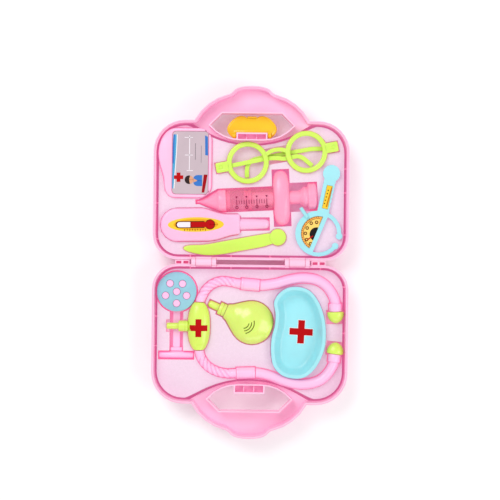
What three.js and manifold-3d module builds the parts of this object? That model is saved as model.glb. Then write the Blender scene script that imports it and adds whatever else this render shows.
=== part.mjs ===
// A toy doctor case, lying open on its back: two hinged tubs with half a handle each, and a formed
// tray of toy tools in each tub. Millimetres, +Z up, +Y from the base to the lid, +X to the right.
// The origin is under the middle of the hinge, on the surface that the case lies on.

import * as THREE from 'three';
import { mergeVertices } from 'three/addons/utils/BufferGeometryUtils.js';
import Module from 'manifold-3d';

const wasm = await Module();
wasm.setup();

const { Vector2, Vector3 } = THREE;
const quarterTurn = Math.PI / 2;

// Driving dimensions of the case

const caseHalfWidth = 103;
const bodyLength = 149;
const hingeGap = 2.5;
const hingeCorner = 26;
const shellDepth = 32;
const rimGap = 0.25;
const wall = 2.4;
const floorThickness = 2.2;
const handleFloorHeight = 13.6;
const handleFoot = 60.5;
const handleLand = 9.5;
const handleReach = 36.4;
const lipHeight = 1.6;
const lipWidth = 1.1;
const lipClearance = 0.3;

// Driving dimensions of the finger opening in each handle half

const openingHalfWidth = 44;
const openingOuterHalf = 31.5;
const openingInnerHalf = 12;
const openingInward = 19.7;
const openingOutward = 7.5;
const openingTipInward = 5;

// Clearances and overruns

const seatGap = 0.3;
const runningGap = 0.4;
const pocketClearance = 0.8;
const overrun = 2;
const bury = 1;

// Trays

const trayGauge = 1;
const trayLevel = 20.4;
const trayInset = 5;
const traySkirt = 2.6;
const trayBaySetback = 4.7;

// Worked out from the sizes above

const frontCorner = caseHalfWidth - handleFoot - handleLand;
const rimHeight = shellDepth - rimGap;
const trayLowFloor = floorThickness + seatGap + trayGauge;

// Geometry helpers

const mergeTolerance = 1e-4;

function toSolid(geometry) {
  const bare = new THREE.BufferGeometry();
  bare.setAttribute('position', geometry.getAttribute('position'));
  bare.setIndex(geometry.getIndex());
  const merged = mergeVertices(bare, mergeTolerance);
  const vertProperties = new Float32Array(merged.getAttribute('position').array);
  const triVerts = new Uint32Array(merged.getIndex().array);
  return new wasm.Manifold(new wasm.Mesh({ numProp: 3, vertProperties, triVerts }));
}

function toGeometry(solid) {
  const mesh = solid.getMesh();
  const geometry = new THREE.BufferGeometry();
  geometry.setAttribute('position', new THREE.BufferAttribute(new Float32Array(mesh.vertProperties), 3));
  geometry.setIndex(new THREE.BufferAttribute(new Uint32Array(mesh.triVerts), 1));
  geometry.computeVertexNormals();
  return geometry;
}

function join(...solids) {
  return solids.flat().reduce((sum, solid) => sum.add(solid));
}

function cut(solid, ...tools) {
  return tools.flat().reduce((rest, tool) => rest.subtract(tool), solid);
}

function vectors(pairs, scaleX = 1, scaleY = 1) {
  return pairs.map(([x, y]) => new Vector2(x * scaleX, y * scaleY));
}

// A closed outline moved outward by a distance, or inward by a negative one
function offsetOutline(outline, distance) {
  const sharpest = 0.35;
  const count = outline.length;
  return outline.map((point, i) => {
    const before = point.clone().sub(outline[(i + count - 1) % count]).normalize();
    const after = outline[(i + 1) % count].clone().sub(point).normalize();
    const normal = new Vector2(before.y + after.y, -before.x - after.x).normalize();
    const spread = Math.max(normal.x * before.y - normal.y * before.x, sharpest);
    return point.clone().addScaledVector(normal, distance / spread);
  });
}

// The band that a path covers with a given half width
function band(path, halfWidth) {
  const sides = path.map((point, i) => {
    const ahead = path[Math.min(i + 1, path.length - 1)];
    const behind = path[Math.max(i - 1, 0)];
    const across = ahead.clone().sub(behind).normalize();
    return new Vector2(across.y, -across.x);
  });
  const right = path.map((point, i) => point.clone().addScaledVector(sides[i], halfWidth));
  const left = path.map((point, i) => point.clone().addScaledVector(sides[i], -halfWidth));
  return [...right, ...left.reverse()];
}

function circle(radius, sides, centre = new Vector2()) {
  return Array.from({ length: sides }, (unused, i) => {
    const turn = (2 * Math.PI * i) / sides;
    return new Vector2(centre.x + radius * Math.cos(turn), centre.y + radius * Math.sin(turn));
  });
}

function rectangle(lowX, lowY, highX, highY) {
  return vectors([[lowX, lowY], [highX, lowY], [highX, highY], [lowX, highY]]);
}

// A closed outline from its right half, which runs from the middle line up to the middle line
function mirrored(rightHalf) {
  const left = rightHalf.slice(1, -1).reverse().map((point) => new Vector2(-point.x, point.y));
  return [...rightHalf, ...left];
}

function ordered(a, b) {
  return a < b ? [a, b] : [b, a];
}

// An outline of the lid, turned over for the base where side is -1
function onSide(outline, side) {
  if (side > 0) return outline;
  return outline.map((point) => new Vector2(point.x, -point.y)).reverse();
}

// An outline in a tool's own frame, placed in the frame of the case
function placed(outline, place) {
  return outline.map((point) => point.clone().rotateAround(new Vector2(), place.turn).add(place.at));
}

function prism(outline, low, high, holes = []) {
  const shape = new THREE.Shape(outline);
  shape.holes = holes.map((hole) => new THREE.Path(hole));
  const geometry = new THREE.ExtrudeGeometry(shape, { depth: high - low, bevelEnabled: false });
  return toSolid(geometry.translate(0, 0, low));
}

function block(lowX, lowY, lowZ, highX, highY, highZ) {
  const geometry = new THREE.BoxGeometry(highX - lowX, highY - lowY, highZ - lowZ);
  return toSolid(geometry.translate((lowX + highX) / 2, (lowY + highY) / 2, (lowZ + highZ) / 2));
}

// A closed skin over rings of equally many points, each ring counterclockwise seen from the last ring
function skinRings(rings, capFaces) {
  const count = rings[0].length;
  const index = [];
  rings.slice(1).forEach((unused, ring) => {
    for (let i = 0; i < count; i += 1) {
      const a = ring * count + i;
      const b = ring * count + ((i + 1) % count);
      index.push(a, b, b + count, a, b + count, a + count);
    }
  });
  const lastRing = (rings.length - 1) * count;
  capFaces.forEach(([a, b, c]) => {
    index.push(a, c, b, lastRing + a, lastRing + b, lastRing + c);
  });
  const geometry = new THREE.BufferGeometry();
  const position = rings.flat().flatMap((point) => [point.x, point.y, point.z]);
  geometry.setAttribute('position', new THREE.Float32BufferAttribute(position, 3));
  geometry.setIndex(index);
  return geometry;
}

// A solid whose outline moves in by [inset, height] stages as it rises
function stages(outline, steps) {
  const rings = steps.map(([inset, height]) =>
    offsetOutline(outline, -inset).map((point) => new Vector3(point.x, point.y, height)));
  const capFaces = THREE.ShapeUtils.triangulateShape(outline, []);
  return toSolid(skinRings(rings, capFaces));
}

function fanFaces(count) {
  return Array.from({ length: count - 2 }, (unused, i) => [0, i + 1, i + 2]);
}

// Oval sections along +X, each [along, half width in Y, half height in Z]
function ovalSections(sections, sides) {
  const rings = sections.map(([along, halfWidth, halfHeight]) =>
    circle(1, sides).map((point) => new Vector3(along, halfWidth * point.x, halfHeight * point.y)));
  return toSolid(skinRings(rings, fanFaces(sides)));
}

// A turned solid along +X, from [along, radius] points between two ends on the axis
function turned(profile, sides) {
  const points = profile.map(([along, radius]) => new Vector2(radius, along));
  return toSolid(new THREE.LatheGeometry(points, sides).rotateZ(-quarterTurn));
}

function rod(lowX, highX, radius, sides) {
  return turned([[lowX, 0], [lowX, radius], [highX, radius], [highX, 0]], sides);
}

// A rod along +Z
function post(low, high, radius, sides) {
  return prism(circle(radius, sides), low, high);
}

// A round tube along a curve
function tubeAlong(curve, radius, sides, steps) {
  const section = new THREE.Shape(circle(radius, sides));
  return toSolid(new THREE.ExtrudeGeometry(section, { steps, extrudePath: curve, bevelEnabled: false }));
}

function flatCurve(points, height) {
  return new THREE.CatmullRomCurve3(points.map(([x, y]) => new Vector3(x, y, height)), false, 'centripetal');
}

// Materials

function material(color, roughness, metalness = 0) {
  return () => new THREE.MeshStandardMaterial({ color, roughness, metalness });
}

const casePink = material(0xffb0da, 0.35);
const trayPink = material(0xf2cfe2, 0.3);
const latchYellow = material(0xffc300, 0.35);
const badgePink = material(0xffc4e4, 0.35);
const cardGrey = material(0xd8ccd4, 0.6);
const limePlastic = material(0xcdf55f, 0.35);
const syringePink = material(0xff7fa6, 0.35);
const clearPink = material(0xd993ac, 0.15);
const thermometerPink = material(0xffb9de, 0.35);
const labelYellow = material(0xf6d23c, 0.5);
const aquaPlastic = material(0xa6ebf2, 0.35);
const dialOrange = material(0xf3b04a, 0.5);
const discBlue = material(0x93d3dc, 0.35);
const toolPink = material(0xffaad2, 0.35);
const bulbLime = material(0xd2ee58, 0.3);

// The case: two tubs, mirror images about the hinge, with a finger opening in each handle half

const curvePoints = 4;
const handleCurveShares = [[0.876, 0.387], [0.666, 0.646], [0.423, 0.747]];
const crownCurveShares = [[0.37, 0.76], [0.306, 0.888], [0.215, 1]];

function bodyPath(inset) {
  const path = new THREE.Path();
  const side = caseHalfWidth - inset;
  const low = hingeGap + inset;
  const high = bodyLength - inset;
  const lowCorner = hingeCorner - inset;
  const highCorner = frontCorner - inset;
  path.moveTo(0, low);
  path.lineTo(side - lowCorner, low);
  path.absarc(side - lowCorner, low + lowCorner, lowCorner, -quarterTurn, 0);
  path.lineTo(side, high - highCorner);
  path.absarc(side - highCorner, high - highCorner, highCorner, 0, quarterTurn);
  return path;
}

function handleShare([x, y]) {
  return [x * handleFoot, bodyLength + y * handleReach];
}

function fullOutline() {
  const path = bodyPath(0);
  const [firstGuide, secondGuide, shoulder] = handleCurveShares.map(handleShare);
  const [crownFoot, crownSide, crownGuide] = crownCurveShares.map(handleShare);
  path.lineTo(handleFoot, bodyLength);
  path.bezierCurveTo(...firstGuide, ...secondGuide, ...shoulder);
  path.quadraticCurveTo(...crownFoot, ...crownSide);
  path.quadraticCurveTo(...crownGuide, 0, bodyLength + handleReach);
  return mirrored(path.getPoints(curvePoints));
}

// The bay in the deep part of a tub, round the finger opening, from below the handle's floor
const bayMargin = 7.5;
const bayFoot = handleFoot + bayMargin;
const bayDepth = 21;
const bayCurveShares = [[0.8, 0.21], [0.54, 1]];

function bayCurve(foot, edge, floor) {
  const path = new THREE.Path();
  const guides = bayCurveShares.map(([x, y]) => [x * foot, edge - y * (edge - floor)]);
  path.moveTo(foot, edge);
  path.bezierCurveTo(...guides[0], ...guides[1], 0, floor);
  return path.getPoints(2 * curvePoints);
}

function bayOutline() {
  const far = bodyLength + 2 * handleReach;
  const curve = bayCurve(bayFoot, bodyLength + overrun, bodyLength - bayDepth).reverse();
  return mirrored([...curve, new Vector2(bayFoot, far), new Vector2(0, far)]);
}

// The tray's outline: the body without the handle, less the bay
function trayOutline() {
  const rightHalf = bodyPath(trayInset).getPoints(curvePoints);
  const bay = bayCurve(bayFoot, bodyLength - trayInset, bodyLength - bayDepth - trayBaySetback);
  return mirrored([...rightHalf, ...bay]);
}

const openingGuideShare = 0.7;

function openingOutline() {
  const path = new THREE.Path();
  const low = bodyLength - openingInward;
  path.moveTo(0, low);
  path.lineTo(openingInnerHalf, low);
  const guide = openingGuideShare * openingHalfWidth;
  path.quadraticCurveTo(guide, low, openingHalfWidth, bodyLength - openingTipInward);
  path.lineTo(openingOuterHalf, bodyLength + openingOutward);
  path.lineTo(0, bodyLength + openingOutward);
  return mirrored(path.getPoints(curvePoints));
}

// Rounded foot edge, draft and the step between the deep part and the handle
const footRound = 2.6;
const footRoundShares = [[1.2, 0], [0.55, 0.3], [0.15, 1]];
const draft = 0.5;
const openingWall = 1.2;

function tubOuter(side) {
  const footSteps = footRoundShares.map(([x, z]) => [draft + x * footRound, z * footRound]);
  const tub = stages(onSide(fullOutline(), side), [...footSteps, [0, rimHeight]]);
  return cut(tub, prism(onSide(bayOutline(), side), -overrun, handleFloorHeight));
}

function tubInner(side) {
  const hollow = stages(onSide(fullOutline(), side), [
    [wall + footRound, floorThickness],
    [wall + footRound / 3, floorThickness + footRound / 2],
    [wall, rimHeight + overrun],
  ]);
  const padTop = handleFloorHeight + floorThickness;
  return cut(
    hollow,
    prism(onSide(offsetOutline(bayOutline(), wall), side), 0, padTop),
    prism(onSide(offsetOutline(openingOutline(), openingWall), side), 0, rimHeight + 2 * overrun),
  );
}

// Small ribs on the walls, which the tray's skirt stands on
const ribThickness = 1.6;
const ribDepth = 4.6;
const lidRibShares = { left: [0.16, 0.415], right: [0.2, 0.5, 0.67] };
const baseRibShares = { left: [0.39, 0.6], right: [0.17, 0.5] };
const hingeRibShares = [-0.62, -0.2, 0.2, 0.72];

function trayRibs(side) {
  const top = trayLevel - traySkirt - seatGap;
  const wallInside = caseHalfWidth - wall - draft;
  const hingeInside = hingeGap + wall + draft;
  const half = ribThickness / 2;
  const shares = side > 0 ? lidRibShares : baseRibShares;
  const sideRibs = (hand, list) => list.map((share) => {
    const y = share * bodyLength;
    const [low, high] = ordered(hand * (wallInside + wall / 2), hand * (wallInside - ribDepth));
    return rectangle(low, y - half, high, y + half);
  });
  const hingeRibs = hingeRibShares.map((share) => {
    const x = share * caseHalfWidth;
    return rectangle(x - half, hingeInside - wall / 2, x + half, hingeInside + ribDepth);
  });
  return [...sideRibs(-1, shares.left), ...sideRibs(1, shares.right), ...hingeRibs]
    .map((outline) => prism(onSide(outline, side), floorThickness / 2, top));
}

// The boxes in the finger openings: the latch turns in the lid's and grips the base's

const boxHalfWidth = 16.2;
const latchBoxReach = 7;
const catchBoxReach = 8.6;
const boxWall = 1.5;
const boxHeight = 12.2;
const boxRibShares = [-0.35, 0.3];

function frontBox(reach, side) {
  const root = bodyLength - openingInward;
  const low = rimHeight - boxHeight;
  const outer = rectangle(-boxHalfWidth, root - openingWall / 2, boxHalfWidth, root + reach);
  const inner = rectangle(boxWall - boxHalfWidth, root, boxHalfWidth - boxWall, root + reach - boxWall);
  const shell = cut(
    prism(onSide(outer, side), low, rimHeight),
    prism(onSide(inner, side), low + boxWall, rimHeight + overrun),
  );
  const ribs = boxRibShares.map((share) => {
    const x = share * boxHalfWidth;
    const outline = rectangle(
      x - boxWall / 3, root - openingWall / 3, x + boxWall / 3, root + reach - boxWall / 2);
    return prism(onSide(outline, side), low + boxWall / 2, rimHeight - boxHeight / 3);
  });
  return join(shell, ribs);
}

// The hinges: a bar moulded between two cheeks of the base, gripped by a hook of the lid

const hingeSpan = 26;
const hingeLand = 15;
const hingePlace = caseHalfWidth - hingeCorner - hingeLand - hingeSpan / 2;
const cheekWidth = 4.4;
const knuckleRadius = 4.2;
const hingeBarRadius = 1.7;
const hookMouth = 2.7;
const hookHalfWidth = hingeSpan / 2 - cheekWidth - runningGap;
const hingeSides = 12;
const webReach = hingeGap + wall + draft;

function hingeRod(centre, halfWidth, radius) {
  return rod(centre - halfWidth, centre + halfWidth, radius, hingeSides).translate([0, 0, shellDepth]);
}

function knuckle(low, high, side) {
  const ends = side > 0 ? [0, webReach] : [-webReach, 0];
  const web = block(low, ends[0], shellDepth - 0.9 * knuckleRadius, high, ends[1], rimHeight);
  return join(hingeRod((low + high) / 2, (high - low) / 2, knuckleRadius), web);
}

function hingeClearance(centre, halfWidth) {
  return hingeRod(centre, halfWidth + runningGap, knuckleRadius + runningGap);
}

function baseHinge(centre) {
  const outer = hingeSpan / 2;
  const cheeks = [-1, 1].map((hand) => {
    return knuckle(...ordered(centre + hand * outer, centre + hand * (outer - cheekWidth)), -1);
  });
  return [...cheeks, hingeRod(centre, outer - cheekWidth / 2, hingeBarRadius)];
}

function lidHinge(centre) {
  const bore = hingeRod(centre, hookHalfWidth + overrun, hingeBarRadius + runningGap);
  const mouth = block(
    centre - hookHalfWidth - overrun, -hookMouth / 2, shellDepth - knuckleRadius - overrun,
    centre + hookHalfWidth + overrun, hookMouth / 2, shellDepth);
  return cut(knuckle(centre - hookHalfWidth, centre + hookHalfWidth, 1), bore, mouth);
}

// Blocks with two blind pockets that close the gap beyond each hinge
const endBlockReach = 2;
const endBlockWidth = 15;
const endBlockLow = hingePlace + hingeSpan / 2 + endBlockReach;
const endBlockHigh = endBlockLow + endBlockWidth;
const endBlockHeight = 13;
const endPocketDepth = 8;
const endPocketWall = 1.1;

function hingeEndBlock(hand) {
  const top = rimHeight - runningGap;
  const low = -hingeGap - wall / 2;
  const middle = (endBlockLow + endBlockHigh) / 2;
  const [left, right] = ordered(hand * endBlockLow, hand * endBlockHigh);
  const solid = block(left, low, top - endBlockHeight, right, endBlockReach, top);
  const pockets = [[endBlockLow, middle], [middle, endBlockHigh]].map(([from, to]) => {
    const ends = ordered(hand * from, hand * to);
    return block(
      ends[0] + endPocketWall, endPocketWall / 2 - hingeGap, top - endPocketDepth,
      ends[1] - endPocketWall, endBlockReach - endPocketWall, top + overrun);
  });
  return cut(solid, pockets);
}

function shellBase(side) {
  const tub = cut(tubOuter(side), tubInner(side));
  const opening = prism(onSide(openingOutline(), side), -overrun, rimHeight + overrun);
  return join(cut(tub, opening), trayRibs(side));
}

// The raised lip inside the base's rim, and the rebate of the lid that takes it
function lipRing(outset, inner, low, high) {
  const outline = fullOutline();
  return (side) => cut(
    prism(onSide(offsetOutline(outline, -outset), side), low, high),
    prism(onSide(offsetOutline(outline, -inner), side), low - overrun, high + overrun),
  );
}

function makeBaseShell() {
  const lip = lipRing(wall - lipWidth, wall - lipClearance / 2, rimHeight - bury, rimHeight + lipHeight)(-1);
  const lipGaps = [-1, 1].map((hand) => block(
    hand * hingePlace - hingeSpan / 2 - 2 * runningGap, -webReach - overrun, rimHeight,
    hand * hingePlace + hingeSpan / 2 + 2 * runningGap, 0, rimHeight + lipHeight + overrun));
  const hookRooms = [-1, 1].map((hand) => hingeClearance(hand * hingePlace, hookHalfWidth));
  const shell = cut(join(shellBase(-1), lip), lipGaps, hookRooms);
  return join(
    shell,
    frontBox(catchBoxReach, -1),
    [-1, 1].flatMap((hand) => baseHinge(hand * hingePlace)),
    [-1, 1].map(hingeEndBlock),
  );
}

function makeLidShell() {
  const rebateDepth = lipHeight + lipClearance;
  const rebateFoot = rimHeight - rebateDepth;
  const rebate = lipRing(wall - lipWidth - lipClearance, wall + bury, rebateFoot, rimHeight + overrun)(1);
  const cheekRooms = [-1, 1].flatMap((hand) => [-1, 1].map((end) => hingeClearance(
    hand * hingePlace + end * (hingeSpan - cheekWidth) / 2, cheekWidth / 2)));
  const pinHoleHalf = boxHalfWidth + overrun;
  const pinHole = rod(-pinHoleHalf, pinHoleHalf, latchPinRadius + runningGap, hingeSides)
    .translate([0, latchPivotY, latchPivotZ]);
  return cut(
    join(
      cut(shellBase(1), rebate, cheekRooms),
      frontBox(latchBoxReach, 1),
      [-1, 1].map((hand) => lidHinge(hand * hingePlace)),
    ),
    pinHole,
  );
}

// The latch: a bean-shaped plate on two arms, with stub pins in the latch box and a hook at its far edge

const latchPinRadius = 1.5;
const latchPivotZ = 26;
const latchPivotReach = 3.8;
const latchPivotY = bodyLength - openingInward + latchPivotReach;
const latchHalfWidth = 26.2;
const latchReach = 21.7;
const latchThickness = 3.2;
const latchArmWidth = 3.8;
const latchArmRound = 2.6;
const latchHookLip = 1.7;
const latchHookThickness = 2.2;
const latchHookHalfWidth = 5;
const latchLegShare = 0.81;
const latchOutlineShares = [
  [0.81, -0.04], [0.93, 0.1], [0.99, 0.25], [1, 0.4], [0.96, 0.54], [0.88, 0.68],
  [0.76, 0.83], [0.62, 0.94], [0.45, 1], [0.3, 0.98], [0.16, 0.9], [0, 0.88],
];

function makeLatch() {
  const faceY = bodyLength - openingInward + catchBoxReach + runningGap;
  const plateTop = latchPivotY - faceY;
  const plateLow = plateTop - latchThickness;
  const armInner = boxHalfWidth + runningGap;
  const armOuter = armInner + latchArmWidth;
  const boxFront = latchBoxReach - latchPivotReach + runningGap;
  const rightSide = vectors(latchOutlineShares, latchHalfWidth, latchReach);
  const rightHalf = [
    new Vector2(0, boxFront), new Vector2(armInner, boxFront), new Vector2(armInner, -latchPinRadius),
    ...rightSide,
  ];
  const outline = mirrored(rightHalf);
  const plate = stages(outline, [[latchThickness / 4, plateLow], [0, plateLow + latchThickness / 4],
    [0, plateTop - latchThickness / 3], [latchThickness / 4, plateTop]]);
  const arms = [-1, 1].flatMap((hand) => {
    const ends = ordered(hand * armInner, hand * armOuter);
    const pinEnds = ordered(hand * (armInner + latchArmWidth / 2), hand * (boxHalfWidth - boxWall));
    return [
      block(
        ends[0], -latchPinRadius, plateLow + latchThickness / 3,
        ends[1], latchPinRadius + latchArmRound, 0),
      rod(ends[0], ends[1], latchArmRound, hingeSides),
      rod(pinEnds[0], pinEnds[1], latchPinRadius, hingeSides),
    ];
  });
  const hookStart = 2 * shellDepth - latchPivotZ - (rimHeight - boxHeight) + runningGap;
  const hook = block(
    -latchHookHalfWidth, hookStart, plateLow + latchThickness / 3,
    latchHookHalfWidth, hookStart + latchHookThickness, plateTop + latchHookLip);
  const solid = join(plate, arms, hook);
  return solid.translate([0, latchPivotY, latchPivotZ]);
}

// Where each tool lies, as shares of the case's half width and of the body's length

function place(shareX, shareY, degrees) {
  return {
    at: new Vector2(shareX * caseHalfWidth, shareY * bodyLength),
    turn: THREE.MathUtils.degToRad(degrees),
  };
}

// The bulb and the dish lie in the stethoscope's loop, so their places are measured from its oval body
const bulbAcross = 55.83;
const bulbAlong = 4.17;
const dishAcross = 105.94;
const dishAlong = -5.47;

function beside(neighbour, across, along, degrees) {
  return {
    at: new Vector2(across, along).add(neighbour.at),
    turn: THREE.MathUtils.degToRad(degrees),
  };
}

const badgePlace = place(-0.651, 0.7005, 0);
const glassesPlace = place(0.26, 0.7465, 10.97);
const syringePlace = place(-0.565, 0.425, 3.3);
const thermometerPlace = place(-0.926, 0.2577, 1.2);
const spatulaPlace = place(0.2774, 0.1795, 7.04);
const gaugePlace = place(0.691, 0.209, 78.1);
const discToolPlace = place(-0.753, -0.2135, 0);
const stethoscopePlace = place(-0.522, -0.456, 0);
const bulbPlace = beside(stethoscopePlace, bulbAcross, bulbAlong, 156.3);
const dishPlace = beside(stethoscopePlace, dishAcross, dishAlong, 0);

// Badge: a frame with a bulging left side, and a card in its window

const badgeHalfLength = 36.6;
const badgeRight = 24.8;
const badgeBulge = 31.5;
const badgeCorner = 13;
const badgeThickness = 5.6;
const badgePocketDepth = 1.2;
const cardThickness = 0.8;
const cardMargin = 3.4;
const cardLeftShare = 0.53;
const badgeLeftShares = [
  [0.76, 1], [1, 0.66], [1, 0.27], [1, -0.05], [0.79, -0.33], [0.79, -0.55], [0.79, -0.85], [0.67, -1],
];

function badgeOutline() {
  const path = new THREE.Path();
  const leftStart = -badgeBulge * 0.43;
  const guides = badgeLeftShares.map(([x, y]) => [-x * badgeBulge, y * badgeHalfLength]);
  path.moveTo(leftStart, -badgeHalfLength);
  path.lineTo(badgeRight - badgeCorner, -badgeHalfLength);
  path.absarc(badgeRight - badgeCorner, badgeCorner - badgeHalfLength, badgeCorner, -quarterTurn, 0);
  path.lineTo(badgeRight, badgeHalfLength - badgeCorner);
  path.absarc(badgeRight - badgeCorner, badgeHalfLength - badgeCorner, badgeCorner, 0, quarterTurn);
  path.lineTo(leftStart, badgeHalfLength);
  path.bezierCurveTo(...guides[0], ...guides[1], ...guides[2]);
  path.bezierCurveTo(...guides[3], ...guides[4], ...guides[5]);
  path.bezierCurveTo(...guides[6], ...guides[7], leftStart, -badgeHalfLength);
  return path.getPoints(curvePoints - 1).slice(0, -1);
}

function cardOutline(margin) {
  const left = -cardLeftShare * badgeBulge - margin;
  const right = badgeRight - cardMargin + margin;
  const end = badgeHalfLength - cardMargin + margin;
  return rectangle(left, -end, right, end);
}

function makeBadgeHolder() {
  const edge = badgeThickness / 4;
  const body = stages(badgeOutline(), [
    [edge, 0], [0, edge], [0, badgeThickness - edge], [edge, badgeThickness],
  ]);
  const window = prism(cardOutline(0), badgeThickness - cardThickness - seatGap, badgeThickness + overrun);
  return cut(body, window);
}

function makeBadgeCard() {
  return prism(cardOutline(-seatGap), badgeThickness - cardThickness, badgeThickness);
}

// Glasses: two round rims on a bridge, with temples folded one over the other behind them

const lensSpacing = 31.5;
const lensOuter = 22.3;
const lensRim = 5.4;
const frontThickness = 3.8;
const frontBevel = 0.9;
const bridgeRise = 10.2;
const bridgeHalfSpan = 13.5;
const bridgeHalfWidth = 2.2;
const tabReach = 65.6;
const tabHalfHeight = 5.4;
const earInnerHalf = 3.1;
const earOuterHalf = 5.2;
const earHalfLength = 2.6;
const templeThickness = 3.1;
const templeHalfHeight = 2.3;
const templePinRadius = 1;
const templeHingeReach = 60.5;
const glassesPocketDepth = 6.5;
const ringSides = 24;
const leftTempleShares = [
  [-0.7, 0.005], [-0.4, 0.01], [-0.15, 0.01], [0, -0.012], [0.12, -0.042], [0.25, -0.043], [0.35, -0.043],
  [0.43, -0.08], [0.5, -0.155], [0.58, -0.255],
];
const rightTempleShares = [
  [0.76, 0.02], [0.62, 0.041], [0.4, 0.043], [0.1, 0.043], [-0.15, 0.043], [-0.36, 0.043], [-0.46, 0.02],
  [-0.53, -0.05], [-0.56, -0.14], [-0.58, -0.25],
];
const tabWindow = 1.6;
const tabWindowDepth = 1;

const leftTempleAxis = -(runningGap + templeThickness / 2);
const rightTempleAxis = -(2 * runningGap + 1.5 * templeThickness);
const glassesStack = 2 * (runningGap + templeThickness);

function lensRing(centreX) {
  const inner = lensOuter - lensRim;
  const half = frontThickness;
  const profile = [
    new Vector2(inner, 0), new Vector2(lensOuter, 0), new Vector2(lensOuter, half - frontBevel),
    new Vector2(lensOuter - frontBevel, half), new Vector2(inner + frontBevel, half),
    new Vector2(inner, half - frontBevel), new Vector2(inner, 0),
  ];
  const ring = toSolid(new THREE.LatheGeometry(profile, ringSides).rotateX(quarterTurn));
  return ring.translate([centreX, 0, 0]);
}

function bridge() {
  const radius = (bridgeHalfSpan ** 2 + (bridgeRise / 2) ** 2) / bridgeRise;
  const centre = new Vector2(0, bridgeRise - bridgeHalfWidth - radius);
  const reach = Math.asin(bridgeHalfSpan / radius);
  const arc = new THREE.EllipseCurve(
    centre.x, centre.y, radius, radius, quarterTurn + reach, quarterTurn - reach, true);
  const arch = band(arc.getPoints(2 * curvePoints), bridgeHalfWidth);
  return prism(arch, frontBevel / 3, frontThickness - frontBevel / 3);
}

function templeEars(hand, axisHeight) {
  const low = axisHeight - templeThickness / 2;
  const ears = [-1, 1].map((end) => {
    const ys = ordered(end * earInnerHalf, end * earOuterHalf);
    return block(
      hand * templeHingeReach - earHalfLength, ys[0], low,
      hand * templeHingeReach + earHalfLength, ys[1], frontThickness / 2);
  });
  return ears;
}

function pinAcross(x, z, halfLength, radius) {
  return rod(-halfLength, halfLength, radius, hingeSides / 2).rotate([0, 0, 90]).translate([x, 0, z]);
}

function makeGlassesFront() {
  const inner = lensSpacing + lensOuter - lensRim / 2;
  const tabs = [-1, 1].map((hand) => {
    const [low, high] = ordered(hand * inner, hand * tabReach);
    return block(low, -tabHalfHeight, frontBevel / 2, high, tabHalfHeight, frontThickness);
  });
  const windows = [-1, 1].map((hand) => block(
    hand * templeHingeReach - tabWindow, -tabWindow, frontThickness - tabWindowDepth,
    hand * templeHingeReach + tabWindow, tabWindow, frontThickness + overrun));
  const pinRooms = [[-1, leftTempleAxis], [1, rightTempleAxis]].map(([hand, axis]) =>
    pinAcross(hand * templeHingeReach, axis, earOuterHalf + overrun, templePinRadius + runningGap));
  const solid = join(
    lensRing(-lensSpacing), lensRing(lensSpacing), bridge(), tabs,
    templeEars(-1, leftTempleAxis), templeEars(1, rightTempleAxis),
  );
  return cut(solid, windows, pinRooms);
}

function makeTemple(hand, shares, axisHeight) {
  const halfThickness = templeThickness / 2;
  const hingeX = hand * templeHingeReach;
  const rootEnd = hingeX - 2 * hand * (earHalfLength + runningGap);
  const controls = [new Vector2(rootEnd, 0), ...vectors(shares, templeHingeReach, templeHingeReach)];
  const path = new THREE.SplineCurve(controls).getPoints(5 * curvePoints);
  const arm = prism(band(path, templeHalfHeight), -halfThickness, halfThickness);
  const rootHalf = earInnerHalf - runningGap;
  const ends = ordered(hingeX, rootEnd - hand * templeHalfHeight);
  const root = block(ends[0], -rootHalf, -halfThickness, ends[1], rootHalf, halfThickness);
  const knuckleRod = pinAcross(hingeX, 0, rootHalf, halfThickness);
  const pin = pinAcross(hingeX, 0, earOuterHalf, templePinRadius);
  return join(arm, root, knuckleRod, pin).translate([0, 0, axisHeight]);
}

// Syringe, along +X from its tip

const syringeTipRadius = 1.8;
const syringeTipLength = 3.4;
const coneEnd = 20.5;
const coneRadius = 9.6;
const collarStart = 23.4;
const collarRadius = 12;
const barrelStart = 32;
const barrelEnd = 81.6;
const barrelRadius = 11.8;
const barrelWall = 1.2;
const spigotLength = 4;
const flangeLength = 17;
const flangeHalfSpan = 29.6;
const flangeHalfHeight = 12;
const stemRadius = 7.2;
const thumbStart = 109.5;
const thumbEnd = 127.8;
const thumbHalfSpan = 14.6;
const thumbHalfHeight = 11;
const pistonStart = 50.5;
const pistonLength = 8;
const thumbTravel = 10;
const syringeSides = 18;
const syringeAxisHeight = trayLowFloor + seatGap + collarRadius;
const flangeShares = [
  [0, 0.62], [0.06, 0.8], [0.2, 0.96], [0.36, 1], [0.5, 0.97], [0.64, 1], [0.8, 0.96], [0.94, 0.8], [1, 0.62],
];
const thumbShares = [
  [0, 0.5, 0.65], [0.12, 0.6, 0.74], [0.24, 0.72, 0.86], [0.32, 0.76, 0.9], [0.42, 0.72, 0.86],
  [0.5, 0.9, 0.96], [0.58, 1, 1], [0.86, 1, 1], [0.95, 0.88, 0.9], [1, 0.72, 0.75],
];

function makeSyringeNose() {
  const spigotRadius = barrelRadius - barrelWall - seatGap;
  const edge = collarRadius - coneRadius;
  return turned([
    [0, 0], [0, syringeTipRadius * 0.8],
    [syringeTipLength / 4, syringeTipRadius], [syringeTipLength, syringeTipRadius],
    [coneEnd, coneRadius], [collarStart, collarRadius - edge / 4], [collarStart + edge / 4, collarRadius],
    [barrelStart - seatGap, collarRadius], [barrelStart - seatGap, spigotRadius],
    [barrelStart + spigotLength, spigotRadius], [barrelStart + spigotLength, 0],
  ], syringeSides);
}

function makeSyringeBarrel() {
  const bore = rod(barrelStart - overrun, barrelEnd + overrun, barrelRadius - barrelWall, syringeSides);
  return cut(rod(barrelStart, barrelEnd, barrelRadius, syringeSides), bore);
}

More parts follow.
